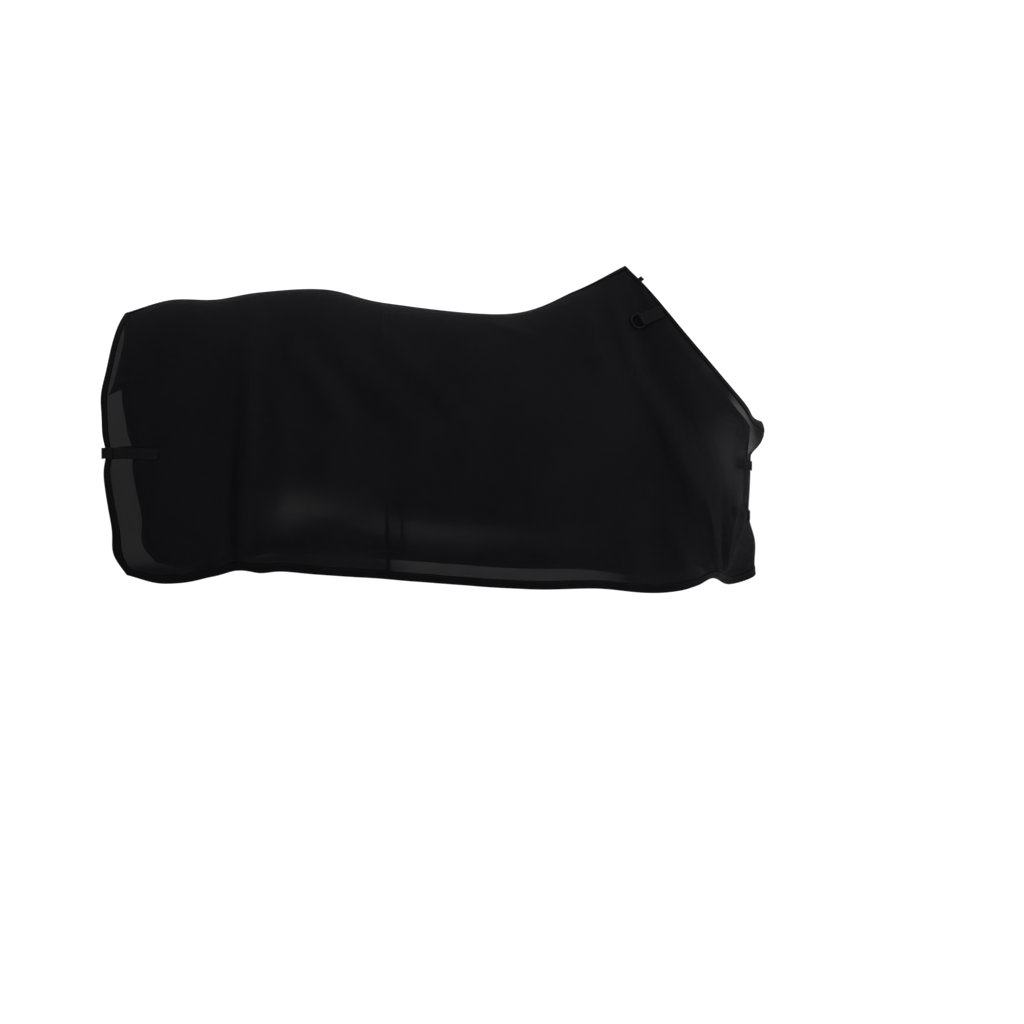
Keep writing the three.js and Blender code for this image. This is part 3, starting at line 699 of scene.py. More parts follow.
def knit_openness_and_painted_light_at(points):
    opened = np.full(len(points), PLAIN_KNIT)
    # painted glow and painted shade, added to the plain knit by place
    for x, z, reach_x, reach_z, amount in PAINTED_GLOW_AND_SHADE_PLACES:
        away = ((points[:, 0] - x) / reach_x) ** 2 + ((points[:, 2] - z) / reach_z) ** 2
        opened = opened + amount * np.exp(-away)
    # painted shade along the back ridge: the knit is closed there, which darkens it
    beside = smoothstep(np.abs(points[:, 1]), *SHADED_RIDGE_WIDTH)
    ridge_painted_shade = (1 - beside) * smoothstep(points[:, 2], *SHADED_RIDGE_HEIGHT)
    opened = np.maximum(opened * (1 - ridge_painted_shade), CLOSEST_KNIT)
    return np.sqrt(opened)  # light passes the wall's two faces, one after the other


def write_knit_openness_and_painted_light(piece):
    points = np.array([v.co for v in piece.data.vertices])
    layer = piece.data.attributes.new("knit_openness_and_painted_light", "FLOAT", "POINT")
    layer.data.foreach_set("value", knit_openness_and_painted_light_at(points).astype(np.float32))


def one_layer_area(piece):
    return sum(p.area for p in piece.data.polygons)


def panel(name, side, u_from, u_to):
    half_way = np.array([0.5])
    start = end_share(side, 0, half_way, HIDDEN_EDGE)[0] if u_from == 0 else u_from
    stop = 1 - end_share(side, 1, half_way, HIDDEN_EDGE)[0] if u_to == 1 else u_to
    span = (length_at_u(start), length_at_u(stop))

    def place(a, b):
        u = u_at_length(span[0] + a * (span[1] - span[0]))
        high = np.where(u < WITHERS_AT, 0.0, top_share(u, HIDDEN_EDGE))
        low = 1 - hem_share(u, HIDDEN_EDGE)
        t = high + b * (low - high)
        return cloth(side, u, t), np.column_stack([length_at_u(u), t * rib_length(u)])

    columns = int((span[1] - span[0]) / GRID_FINENESS)
    bm = laid_grid(columns, int(PANEL_DEPTH / GRID_FINENESS), place)
    piece = finish_piece(name, bm, mesh_material)
    write_knit_openness_and_painted_light(piece)
    along = round(span[1] - span[0], 3)
    print(name, "one layer", round(one_layer_area(piece), 4), "m2, along", along, "m")
    add_thickness(piece, MESH_THICKNESS)
    return piece


panels = {}
for side_name, side in SIDES.items():
    for part, u_from, u_to in (("rear", 0, SEAM_AT + FLANK_LAP), ("front", SEAM_AT - FLANK_LAP, 1)):
        node_name = f"{part}_panel_{side_name}"
        piece = panel(f"{node_name}_cloth", side, u_from, u_to)
        panels[node_name] = dress(piece, "sheet", node_name)

# %% [markdown]
# ## Folded bindings
# Every raw edge is closed by a tape folded in half over it. Its section goes down the outer face, turns
# round the edge and comes back up inside, so the section is walked as one length: flat, half circle, flat.

# %% Bindings
TAPE_GAP = 0.0013
TAPE_THICKNESS = 0.0007
TAPE_FACE = TAPE_GAP + TAPE_THICKNESS / 2
FOLD_LENGTH = 2 * BINDING_WIDTH + pi * TAPE_GAP
CORNER_TUCK = 0.0004
TAPE_ROWS = 18
EDGE_COLUMNS = {"hem": 240, "neck": 110, "rear": 110, "front": 70}
EDGE_LENGTH = {"hem": LENGTH_AT[-1], "neck": 0.75, "rear": 0.75, "front": 0.4}
JUST_INSIDE = 0.004


def edge_place(edge, side, a, inset):
    """u and t at a share along one of the sheet's edges, a distance in from it."""
    if edge == "hem":
        u = u_at_length(a * LENGTH_AT[-1])
        return u, 1 - hem_share(u, inset)
    if edge == "neck":
        start = length_at_u(WITHERS_AT + 1e-4)
        u = u_at_length(start + a * (LENGTH_AT[-1] - start))
        return u, top_share(u, inset)
    if edge == "rear":
        return end_share(side, 0, a, inset), a
    return 1 - end_share(side, 1, a, inset), a


def round_the_fold(b):
    """The length walked across a folded tape, its turn round the edge, and how far in it lies."""
    walked = b * FOLD_LENGTH
    turn = np.clip((walked - BINDING_WIDTH) / TAPE_GAP, 0, pi)
    before = BINDING_WIDTH - walked
    after = walked - BINDING_WIDTH - pi * TAPE_GAP
    inset = np.where(walked < BINDING_WIDTH, before, after)
    return walked, turn, np.maximum(inset, 0)


def folded_tape(name, side, edge, columns, extra_lift=0.0):
    gap = TAPE_GAP + extra_lift

    def place(a, b):
        walked, turn, inset = round_the_fold(b)
        u, t = edge_place(edge, side, a, inset)
        u_in, t_in = edge_place(edge, side, a, np.full(len(a), JUST_INSIDE))
        u_edge, t_edge = edge_place(edge, side, a, np.zeros(len(a)))
        off = unit(cloth(side, u_edge, t_edge) - cloth(side, u_in, t_in))
        point = cloth(side, u, t, gap * np.cos(turn)) + off * (gap * np.sin(turn))[:, None]
        return point, np.column_stack([a * EDGE_LENGTH[edge], walked])

    piece = finish_piece(name, laid_grid(columns, TAPE_ROWS, place), tape_material)
    add_thickness(piece, TAPE_THICKNESS)
    return piece


for side_name, side in SIDES.items():
    for edge, columns in EDGE_COLUMNS.items():
        node_name = f"{edge}_binding_{side_name}"
        tuck = CORNER_TUCK if edge in ("hem", "neck") else 0.0
        tape = folded_tape(f"{node_name}_tape", side, edge, columns, tuck)
        dress(tape, "sheet", node_name)

# %% [markdown]
# ## Back seam and flank seams
# The two sides are joined along the back, under a flat tape. At the flank the rear and front panels are
# lapped, which shows as a narrow raised rib that runs down to the hem.

# %% Seam tapes
SEAM_LIFT = 0.0004
RIDGE_FLAT = 0.15
FLANK_SEAM_HALF = 0.0045
FLANK_SEAM_RAISED = 0.0010
FLANK_SEAM_THICKNESS = 0.0006
FLANK_SEAM_LENGTH = 0.9


def seam_tape_place(a, b):
    across = (2 * b - 1) * SEAM_TAPE_HALF
    u = u_at_length(a * length_at_u(WITHERS_AT))
    t = top_share(u, np.abs(across))
    lift = TAPE_FACE + SEAM_LIFT
    right, left = (cloth(side, u, t, lift) for side in (RIGHT, LEFT))
    points = np.where((across < 0)[:, None], right, left)
    flat_top = np.abs(across) < SEAM_TAPE_HALF * RIDGE_FLAT
    points[flat_top, 1] = across[flat_top]
    return points, np.column_stack([a * length_at_u(WITHERS_AT), across + SEAM_TAPE_HALF])


seam_tape = finish_piece("back_seam_tape_cloth", laid_grid(190, 14, seam_tape_place), tape_material)
add_thickness(seam_tape, TAPE_THICKNESS)
dress(seam_tape, "sheet", "back_seam_tape")

for side_name, side in SIDES.items():
    def flank_place(a, b, side=side):
        across = (2 * b - 1) * FLANK_SEAM_HALF
        u = u_at_length(length_at_u(SEAM_AT) + across)
        high = top_share(u, SEAM_TAPE_HALF)
        t = high + a * (1 - hem_share(u, BINDING_WIDTH) - high)
        lift = FLANK_SEAM_RAISED * (1 - np.abs(2 * b - 1) ** 4)
        return cloth(side, u, t, lift), np.column_stack([a * FLANK_SEAM_LENGTH, across])

    seam = finish_piece(f"flank_seam_{side_name}", laid_grid(120, 8, flank_place), mesh_material)
    write_knit_openness_and_painted_light(seam)
    add_thickness(seam, FLANK_SEAM_THICKNESS)
    dress(seam, "sheet")
print("seams done")

# %% [markdown]
# ## Tail flap
# The flap is a small apron under the dock, sewn along a short line at the end of the back. It is tucked
# forward between the buttocks, so its middle is drawn in and up while its two corners hang lower.

# %% Tail flap
FLAP_HINGE = np.array([-1.308, 0, -0.138])
FLAP_TOP_HALF = 0.012
FLAP_LOW_HALF = 0.104
FLAP_SPREAD_POWER = 0.6
FLAP_SIDE_DROP = 0.204
FLAP_SIDE_BACK = 0.034
FLAP_MIDDLE_DROP = 0.104
FLAP_MIDDLE_FORWARD = 0.124
FLAP_START = 0.02
FLAP_END = 1 - HIDDEN_EDGE / FLAP_SIDE_DROP
FLAP_CUT_HALF = 0.13
FLAP_TAPE_LENGTH = 0.35
FLAP_NEAR_END = 0.97
FLAP_STEP = 0.01
# height, waves across and down, phase
FLAP_RIPPLES = [(0.0022, 9, 0, 1.1), (0.0014, 17, -4, 0)]


def flap_point(across, down):
    q = np.abs(across)
    narrowing = np.maximum(1 - down, 0) ** FLAP_SPREAD_POWER
    half = FLAP_LOW_HALF + (FLAP_TOP_HALF - FLAP_LOW_HALF) * narrowing
    forward = FLAP_MIDDLE_FORWARD * down * (1 - q ** 2) - FLAP_SIDE_BACK * down * q ** 2
    drop = (FLAP_MIDDLE_DROP + (FLAP_SIDE_DROP - FLAP_MIDDLE_DROP) * q ** 1.5) * down
    return np.column_stack([FLAP_HINGE[0] + forward, across * half, FLAP_HINGE[2] - drop])


def flap_surface(across, down, lift=0.0):
    inside = np.clip(across, FLAP_STEP - 1, 1 - FLAP_STEP)
    run = flap_point(inside + FLAP_STEP, down) - flap_point(inside - FLAP_STEP, down)
    fall = flap_point(inside, down + FLAP_STEP) - flap_point(inside, down - FLAP_STEP)
    ripple = sum(size * down * np.sin(wide * across + deep * down + start)
                 for size, wide, deep, start in FLAP_RIPPLES)
    return flap_point(across, down) + unit(np.cross(run, fall)) * np.reshape(ripple + lift, (-1, 1))


def flap_place(a, b):
    down = FLAP_START + b * (FLAP_END - FLAP_START)
    across = 2 * a - 1
    cut_across = across * FLAP_CUT_HALF * down + FLAP_CUT_HALF
    return flap_surface(across, down), np.column_stack([cut_across, down * FLAP_SIDE_DROP])


flap = finish_piece("tail_flap_cloth", laid_grid(48, 40, flap_place), mesh_material)
write_knit_openness_and_painted_light(flap)
print("tail flap one layer", round(one_layer_area(flap), 4), "m2")
add_thickness(flap, MESH_THICKNESS)
dress(flap, "tail_flap", "tail_flap")


def flap_tape_place(a, b):
    walked, turn, inset = round_the_fold(b)
    across = 2 * a - 1
    point = flap_surface(across, 1 - inset / FLAP_SIDE_DROP, TAPE_GAP * np.cos(turn))
    end = flap_surface(across, np.ones(len(a)))
    off = unit(end - flap_surface(across, np.full(len(a), FLAP_NEAR_END)))
    point = point + off * (TAPE_GAP * np.sin(turn))[:, None]
    return point, np.column_stack([a * FLAP_TAPE_LENGTH, walked])


flap_tape = finish_piece("tail_flap_tape", laid_grid(56, TAPE_ROWS, flap_tape_place), tape_material)
add_thickness(flap_tape, TAPE_THICKNESS)
dress(flap_tape, "tail_flap", "tail_flap_binding")

# %% [markdown]
# ## Straps on the cloth
# Tabs and straps lie a webbing's thickness off the cloth. To lay one at a given height, its points are
# first found on the drape, by looking through a fine table of the surface for the nearest one.

# %% Finding places on the cloth
FRONT_END = 0.93
FRONT_PENALTY = 0.02
SHARPENINGS = 12
FARTHEST = 0.998
grid_u, grid_t = np.meshgrid(np.linspace(0, 1, 561), np.linspace(0, 1, 401))
TABLE_U, TABLE_T = grid_u.ravel(), grid_t.ravel()
TABLES = {side: draped(side, TABLE_U, TABLE_T) for side in SIDES.values()}


def on_cloth(side, wanted, axes):
    """u and t of the place nearest to the wanted one on two axes, then sharpened. Seen from the side, the
    cloth round the chest can lie behind the flank, so that end is passed over."""
    u, t = [], []
    for want in np.atleast_2d(wanted):
        away = np.abs(TABLES[side][:, axes] - want).sum(axis=1)
        if axes == [0, 2]:
            away = away + FRONT_PENALTY * (TABLE_U > FRONT_END)
        best = away.argmin()
        guess = np.array([TABLE_U[best], TABLE_T[best]])
        for _ in range(SHARPENINGS):
            here = draped(side, *guess)[0][axes]
            by_u = (draped(side, guess[0] + STEP, guess[1])[0][axes] - here) / STEP
            by_t = (draped(side, guess[0], guess[1] + STEP)[0][axes] - here) / STEP
            slopes = np.column_stack([by_u, by_t])
            if abs(np.linalg.det(slopes)) < 1e-9:
                break
            guess = np.clip(guess + np.linalg.solve(slopes, want - here), 0, FARTHEST)
        u.append(guess[0])
        t.append(guess[1])
    return np.array(u), np.array(t)


WEBBING_THICKNESS = 0.0018
STRAP_LIFT = TAPE_FACE + WEBBING_THICKNESS / 2 + 0.0003


def webbing_piece(node_name, path, across, width, ribs):
    bm = swept(path, across, webbing_section(width, WEBBING_THICKNESS, ribs))
    dress(finish_piece(f"{node_name}_webbing", bm, webbing_material), "sheet", node_name)


# %% [markdown]
# ## Rear tabs and tail strap
# A webbing tab on each buttock carries the strap that crosses behind the horse under its tail. The strap
# is sewn over the tabs' ends, leans with the cloth there, and bows out a little in the middle.

# %% Rear tabs and tail strap
TAIL_STRAP_WIDTH = 0.028
TAIL_STRAP_HEIGHT = -0.490
REAR_TAB_FRONT = -1.193
REAR_TAB_BACK = -1.338
TAIL_STRAP_BOW = 0.013
EDGE_PAST_TAB = 0.010
TAIL_STRAP_SEWN = 0.022
TAIL_STRAP_RIBS = 9
TAIL_STRAP_GAP = 0.0002
TAIL_STRAP_SAG = 0.004
STRAP_POINTS = 121
# how far behind the tab's end the strap's turn and its shoulder lie, and their share of its width
STRAP_TURN = (0.003, 0.97)
STRAP_SHOULDER = (0.8 * TAIL_STRAP_BOW, 0.7)
LEAN_FROM = (0.5, 0.8)


def strip_on_cloth(side, xs, z, half_width, lift):
    """Middle points of a level strip on the flank, and the way its width runs."""
    def row(height):
        wanted = np.column_stack([xs, np.full(len(xs), height)])
        u, t = on_cloth(side, wanted, [0, 2])
        return cloth(side, u, t, lift)
    upper, lower = row(z + half_width), row(z - half_width)
    return (upper + lower) / 2, unit(upper - lower)


tab_x = np.linspace(REAR_TAB_FRONT, REAR_TAB_BACK, 25)
tab_ends = {}
for side_name, side in SIDES.items():
    path, across = strip_on_cloth(side, tab_x, TAIL_STRAP_HEIGHT, TAIL_STRAP_WIDTH / 2, STRAP_LIFT)
    webbing_piece(f"rear_tab_{side_name}", path, across * -side, TAIL_STRAP_WIDTH, TAIL_STRAP_RIBS)
    tab_ends[side] = (path, across)

path, across = tab_ends[RIGHT]
cross_normal = unit(np.cross(tangents(path, False), across))
cross_normal *= np.sign(-cross_normal[:, 1:2])
is_sewn = np.abs(tab_x - REAR_TAB_BACK) < TAIL_STRAP_SEWN
over_tab = path[is_sewn] + cross_normal[is_sewn] * (WEBBING_THICKNESS + TAIL_STRAP_GAP)
corner = over_tab[-1]
rearmost = corner[0] - EDGE_PAST_TAB
bends = (STRAP_TURN, STRAP_SHOULDER)
turns = [[rearmost - back, out * corner[1], TAIL_STRAP_HEIGHT] for back, out in bends]
half = np.vstack([over_tab[:1], over_tab[-1:], turns])
mirrored = (half * [1, -1, 1])[::-1]
middle = np.array([[rearmost - TAIL_STRAP_BOW, 0, TAIL_STRAP_HEIGHT - TAIL_STRAP_SAG]])
strap_path = smooth_curve(np.vstack([half, middle, mirrored]), np.linspace(0, 1, STRAP_POINTS))
from_middle = np.abs(np.linspace(-1, 1, STRAP_POINTS))
leaning = np.tile(across[-1], (STRAP_POINTS, 1))
leaning[:, 1] *= np.sign(np.linspace(1, -1, STRAP_POINTS))
blend = smoothstep(from_middle, *LEAN_FROM)[:, None]
strap_across = unit((1 - blend) * np.array([0, 0, 1]) + blend * leaning)
webbing_piece("tail_strap", strap_path, strap_across, TAIL_STRAP_WIDTH, TAIL_STRAP_RIBS)
print("tail strap length", round(path_lengths(strap_path)[-1], 3))

# %% [markdown]
# ## Neck tabs and D-rings
# A short wide webbing tab is folded round the straight side of a D-ring, and its two ends are sewn to the
# neck edge with a box stitch. The ring is a bent wire: one line walked round the D, with a round section.
# Its place comes from the frame's joint, which lies in the ring's straight side.

# %% Neck tabs and rings
NECK_TAB_WIDTH = 0.038
NECK_TAB_LENGTH = 0.058
NECK_TAB_RIBS = 12
TAB_UPPER = -0.0030
TAB_UNDER = -0.0050
TAB_TURN = radians(150)
TAB_CLEAR = 1.6
EYE_RADIUS = 0.0033
RING_WIRE = 0.0019
# half width, reach, then how round the corners are at the straight side and at the far side
RING_LOOP = (0.0222, 0.0250, 0.003, 0.0165)
NEAR_STEPS = 6
FAR_STEPS = 16
WIRE_STEP = 0.0016
TAB_STEP = 0.0015
BOX_BACK = -0.052
BOX_FRONT = -0.020
BOX_HALF = 0.015
BAR_AT = -0.012
BAR_HALF = 0.016
BOX_PITCH = 0.0042
BOX_STITCH = 0.0028
LINE_POINTS = 12
THREAD_LIFT = 0.0001
JOINTS = {joint["child"]: joint for joint in frame["joints"]}
MOUNTS = {mount["name"]: mount for mount in frame["record"]["mounts"]}


def arc(centre, radius, from_angle, to_angle, steps):
    angle = np.linspace(from_angle, to_angle, steps)
    return np.column_stack([centre[0] + radius * np.cos(angle), centre[1] + radius * np.sin(angle)])


def d_loop(half, reach, near_round, far_round):
    """A closed D lying flat: its straight side is x = 0, and it reaches out to x = reach."""
    near, far = half - near_round, half - far_round
    parts = [
        arc((near_round, -near), near_round, -pi, -pi / 2, NEAR_STEPS),
        arc((reach - far_round, -far), far_round, -pi / 2, 0, FAR_STEPS),
        arc((reach - far_round, far), far_round, 0, pi / 2, FAR_STEPS),
        arc((near_round, near), near_round, pi / 2, pi, NEAR_STEPS),
    ]
    loop = np.vstack(parts)
    closed = np.vstack([loop, loop[:1]])
    return evenly(np.column_stack([closed, np.zeros(len(closed))]), WIRE_STEP)


def in_frame(points, at, x, y, z):
    return at + points[:, :1] * x + points[:, 1:2] * y + points[:, 2:3] * z


def wire_piece(node_name, loop, ways, radius, body):
    path = in_frame(loop, *ways)
    path[-1] = path[0]
    facing = np.tile(ways[3], (len(path), 1))
    bm = swept(path, facing, round_section(radius), closed=True)
    return dress(finish_piece(f"{node_name}_wire", bm, steel_material), body, node_name)


stitch_marks = {"sheet": [], "tail_flap": []}


def row_marks(body, points, normals, pitch=0.0055, length=0.0036, thread=0.00042):
    """Notes the stitches of one sewn row; points is its line and normals the way off the cloth."""
    lengths = path_lengths(points)
    count = int(lengths[-1] / pitch)
    if count < 1:
        return
    at = (np.arange(count) + 0.5) * lengths[-1] / count
    middle = read_along(at, lengths, points)
    along = read_along(at + length / 2, lengths, points) - middle
    normal = read_along(at, lengths, normals)
    good = np.linalg.norm(along, axis=1) > 1e-7
    for m, d, n in zip(middle[good], unit(along[good]), unit(normal[good])):
        stitch_marks[body].append((m, d, n, length, thread))


def box_stitch(body, corners, normal):
    """A sewn box with a cross in it, between four corners in order."""
    for i, j in ((0, 1), (1, 2), (2, 3), (3, 0), (0, 2), (1, 3)):
        line = np.linspace(corners[i], corners[j], LINE_POINTS)
        row_marks(body, line, np.tile(normal, (LINE_POINTS, 1)), BOX_PITCH, BOX_STITCH)


def folded_tab(node_name, ways, length, width, ribs):
    """Webbing that runs up its outer layer, round the wire and back along its under layer."""
    near = -EYE_RADIUS * TAB_CLEAR
    outer = np.column_stack([np.linspace(-length, near, 16), np.full(16, TAB_UPPER)])
    round_wire = arc((0, 0), EYE_RADIUS, TAB_TURN, -TAB_TURN, 22)
    under = np.column_stack([np.linspace(near, -length, 16), np.full(16, TAB_UNDER)])
    flat = np.insert(np.vstack([outer, round_wire, under]), 1, 0, axis=1)
    path = evenly(in_frame(flat, *ways), TAB_STEP)
    across = np.tile(ways[2], (len(path), 1))
    webbing_piece(node_name, path, across, width, ribs)


for side_name in SIDES:
    joint = JOINTS[f"neck_ring_{side_name}"]
    at = np.array(joint["pos_m"])
    y_way = np.array(joint["axis"]) / np.linalg.norm(joint["axis"])
    z_way = unit(np.array(MOUNTS[f"neck_ring_{side_name}"]["axis"]))
    ways = (at, unit(np.cross(z_way, y_way)), y_way, z_way)
    wire_piece(f"neck_ring_{side_name}", d_loop(*RING_LOOP), ways, RING_WIRE, f"neck_ring_{side_name}")
    folded_tab(f"neck_tab_{side_name}", ways, NECK_TAB_LENGTH, NECK_TAB_WIDTH, NECK_TAB_RIBS)
    face = TAB_UPPER + WEBBING_THICKNESS / 2 + THREAD_LIFT
    box = np.array([
        [BOX_BACK, -BOX_HALF, face], [BOX_BACK, BOX_HALF, face],
        [BOX_FRONT, BOX_HALF, face], [BOX_FRONT, -BOX_HALF, face],
    ])
    box_stitch("sheet", in_frame(box, *ways), z_way)
    bar = np.linspace([BAR_AT, -BAR_HALF, face], [BAR_AT, BAR_HALF, face], LINE_POINTS)
    row_marks("sheet", in_frame(bar, *ways), np.tile(z_way, (LINE_POINTS, 1)), BOX_PITCH)

# %% [markdown]
# ## Chest straps and buckles
# The chest closes with two tongue buckles. Each strap is sewn to the right panel, crosses the lapped
# fronts, goes up through the buckle, over its bar and on under the keeper. The tongue pokes up through the
# strap and rests on the far side of the frame.

# %% Chest fastenings
CHEST_STRAPS = {"upper": -0.524, "lower": -0.655}
CHEST_STRAP_WIDTH = 0.025
CHEST_STRAP_RIBS = 8
CHEST_STRAP_GAP = 0.0006
BUCKLE_TAB_LENGTH = 0.048
BUCKLE_REACH = 0.0278
BUCKLE_LOOP = (0.0162, BUCKLE_REACH, 0.004, 0.0055)
BUCKLE_WIRE = 0.0019
STRAP_STEP = 0.0022
# the middle of a chest strap: across the panel in Y, then along and off the buckle's bar
STRAP_ON_PANEL = np.array([-95, -80, -65, -50, -35, -20, -5, 10, 22, 34]) / 1000
STRAP_IN_BUCKLE = np.array([
    [33, -3.0], [27, -3.0], [18, -0.2], [7, 4.4], [0, 5.6], [-8, 4.6], [-20, 0.9], [-45, 0.7], [-60, 0.7],
]) / 1000
PRONG_WIRE = 0.0013
PRONG_START = -0.001
PRONG_PAST = 0.0012
PRONG_HEIGHT = 0.0036
PRONG_SLOPE = 0.0006
PRONG_TAPER = 0.35
PRONG_TIP = 14
SMALLEST_TIP = 0.05
PRONG_STEPS = 26
PRONG_EYE_WIRE = 0.0010
PRONG_EYE_WIDENING = 1.4
PRONG_EYE_STEPS = 33
KEEPER_ALONG = 0.038
KEEPER_WIDTH = 0.012
KEEPER_THICKNESS = 0.0013
KEEPER_RIBS = 4
KEEPER_ROOM = 0.0022
KEEPER_CORNER = 0.002
KEEPER_BEND = 0.0016
KEEPER_LOW = -0.0046
KEEPER_HIGH = 0.0026


def buckle_ways(joint):
    """Where a buckle's bar lies, then its three ways: along the strap, across it and off the cloth."""
    at = np.array(joint["pos_m"])
    u, t = on_cloth(LEFT, [[at[1], at[2]]], [1, 2])
    z_way = unit(outward(LEFT, u, t)[0] * [1, 1, 0])
    x_way = np.array([0.0, -1.0, 0.0])
    x_way = unit(x_way - z_way * (x_way @ z_way))
    return at, x_way, np.cross(z_way, x_way), z_way


def prong_shape(ways):
    """A tapered arm, and in the same piece the eye that holds it on the buckle's bar."""
    y_way = ways[2]
    share = np.linspace(0, 1, PRONG_STEPS)
    arm_x = np.linspace(PRONG_START, BUCKLE_REACH + PRONG_PAST, PRONG_STEPS)
    arm = np.column_stack([arm_x, np.zeros(PRONG_STEPS), PRONG_HEIGHT - PRONG_SLOPE * share])
    tip = np.sqrt(np.clip((1 - share) * PRONG_TIP, SMALLEST_TIP, 1))
    taper = (1 - PRONG_TAPER * share) * tip
    facing = np.tile(y_way, (PRONG_STEPS, 1))
    bm = swept(in_frame(arm, *ways), facing, round_section(PRONG_WIRE), end_scale=taper)
    angle = np.linspace(0, 2 * pi, PRONG_EYE_STEPS)
    eye = EYE_RADIUS * np.column_stack([np.cos(angle), np.zeros(PRONG_EYE_STEPS), np.sin(angle)])
    eye_path = in_frame(eye, *ways)
    eye_path[-1] = eye_path[0]
    section = round_section(PRONG_EYE_WIRE) * [PRONG_EYE_WIDENING, 1]
    eye_bm = swept(eye_path, np.tile(y_way, (PRONG_EYE_STEPS, 1)), section, closed=True)
    eye_data = bpy.data.meshes.new("eye")
    eye_bm.to_mesh(eye_data)
    eye_bm.free()
    bm.from_mesh(eye_data)
    bpy.data.meshes.remove(eye_data)
    return bm


def chest_strap(level, height, ways):
    wanted = np.column_stack([STRAP_ON_PANEL, np.full(len(STRAP_ON_PANEL), height)])
    u, t = on_cloth(RIGHT, wanted, [1, 2])
    on_panel = cloth(RIGHT, u, t, STRAP_LIFT + CHEST_STRAP_GAP)
    in_buckle = in_frame(np.insert(STRAP_IN_BUCKLE, 1, 0, axis=1), *ways)
    path = smooth_curve(np.vstack([on_panel, in_buckle]), np.linspace(0, 1, 400))
    path[:, 2] = height
    path = evenly(path, STRAP_STEP)
    down = -np.tile([0.0, 0.0, 1.0], (len(path), 1))
    webbing_piece(f"chest_strap_{level}", path, down, CHEST_STRAP_WIDTH, CHEST_STRAP_RIBS)
    print(level, "chest strap length", round(path_lengths(path)[-1], 3))


def keeper_shape(ways):
    """A flat band with four rounded corners, closed round the strap."""
    y = CHEST_STRAP_WIDTH / 2 + KEEPER_ROOM - KEEPER_CORNER
    low, high = KEEPER_LOW, KEEPER_HIGH
    corners = ((-y, low, pi), (y, low, -pi / 2), (y, high, 0), (-y, high, pi / 2))
    band = np.vstack([arc(corner, KEEPER_BEND, turn, turn + pi / 2, 5) for *corner, turn in corners])
    band = np.vstack([band, band[:1]])
    flat = np.column_stack([np.full(len(band), -KEEPER_ALONG), band])
    path = in_frame(evenly(flat, WIRE_STEP), *ways)
    path[-1] = path[0]
    section = webbing_section(KEEPER_WIDTH, KEEPER_THICKNESS, KEEPER_RIBS)
    return swept(path, np.tile(ways[1], (len(path), 1)), section, closed=True)


for level, height in CHEST_STRAPS.items():
    ways = buckle_ways(JOINTS[f"buckle_prong_{level}"])
    wire_piece(f"buckle_frame_{level}", d_loop(*BUCKLE_LOOP), ways, BUCKLE_WIRE, "sheet")
    folded_tab(f"buckle_tab_{level}", ways, BUCKLE_TAB_LENGTH, CHEST_STRAP_WIDTH, CHEST_STRAP_RIBS)
    prong = finish_piece(f"buckle_prong_{level}_wire", prong_shape(ways), steel_material)
    dress(prong, f"buckle_prong_{level}", f"buckle_prong_{level}")
    chest_strap(level, height, ways)
    keeper = finish_piece(f"strap_keeper_{level}_webbing", keeper_shape(ways), webbing_material)
    dress(keeper, "sheet", f"strap_keeper_{level}")

# %% [markdown]
# ## Neck edge tag
# A small folded tag is caught in the neck binding just in front of the withers. It stays blank.

# %% Tag
TAG_PAST = 0.043
TAG_REACH = 0.005
TAG_BACK = -0.005
TAG_FOLD_AT = 0.0044
TAG_HALF = 0.0006
TAG_WIDTH = 0.016
TAG_RIBS = 5
tag_u = WITHERS_AT + TAG_PAST
tag_out = outward(RIGHT, tag_u, 0.0)[0]
tag_along = unit(draped(RIGHT, tag_u + STEP, 0.0)[0] - draped(RIGHT, tag_u - STEP, 0.0)[0])
tag_forward = unit(np.cross(tag_along, tag_out))
tag_forward *= np.sign(tag_forward[2])
tag_at = draped(RIGHT, tag_u, 0.0)[0] + tag_forward * TAG_REACH
fold = np.vstack([
    np.column_stack([np.linspace(TAG_BACK, TAG_FOLD_AT, 8), np.full(8, TAG_HALF)]),
    arc((TAG_FOLD_AT, 0), TAG_HALF, pi / 2, -pi / 2, 6),
    np.column_stack([np.linspace(TAG_FOLD_AT, TAG_BACK, 8), np.full(8, -TAG_HALF)]),
])
tag_flat = np.insert(fold, 1, 0, axis=1)
tag_path = evenly(in_frame(tag_flat, tag_at, tag_forward, tag_along, tag_out), 0.0009)
tag_across = np.tile(tag_along, (len(tag_path), 1))
tag_bm = swept(tag_path, tag_across, webbing_section(TAG_WIDTH, TAG_HALF, TAG_RIBS))
tag = finish_piece("neck_edge_tag_cloth", tag_bm, webbing_material)
dress(tag, "sheet", "neck_edge_tag")

# %% [markdown]
# ## Stitches
# Every binding has a row of lockstitch close to its inner edge, and the straps are held by sewn boxes.
# Each stitch is one small rounded bead pressed flat, so thousands of them stay cheap.

# %% Stitches
STITCH_INSET = 0.0165
EDGE_STITCHED = (0.004, 0.996)
BACK_STITCHED = (0.01, 0.995)
BACK_ROWS = (0.003, 0.011)
BACK_ROW_LIFT = 0.0009
FLANK_STITCHED = (0.04, 0.97)
FLANK_ROWS = (-0.0035, 0.0035)
FLANK_ROW_LIFT = 0.0016
FLAP_STITCHED = 0.98
FLAP_POINTS = 200
TAB_BOXES = ((1, 5), (15, 19))
TAB_BOX_INSET = 0.003
BEAD_WIDTH = 0.8
BEAD_HEIGHT = 0.6


def edge_stitches(side, edge):
    a = np.linspace(*EDGE_STITCHED, 400)
    u, t = edge_place(edge, side, a, np.full(len(a), STITCH_INSET))
    row_marks("sheet", cloth(side, u, t, TAPE_FACE + CORNER_TUCK + THREAD_LIFT), outward(side, u, t))


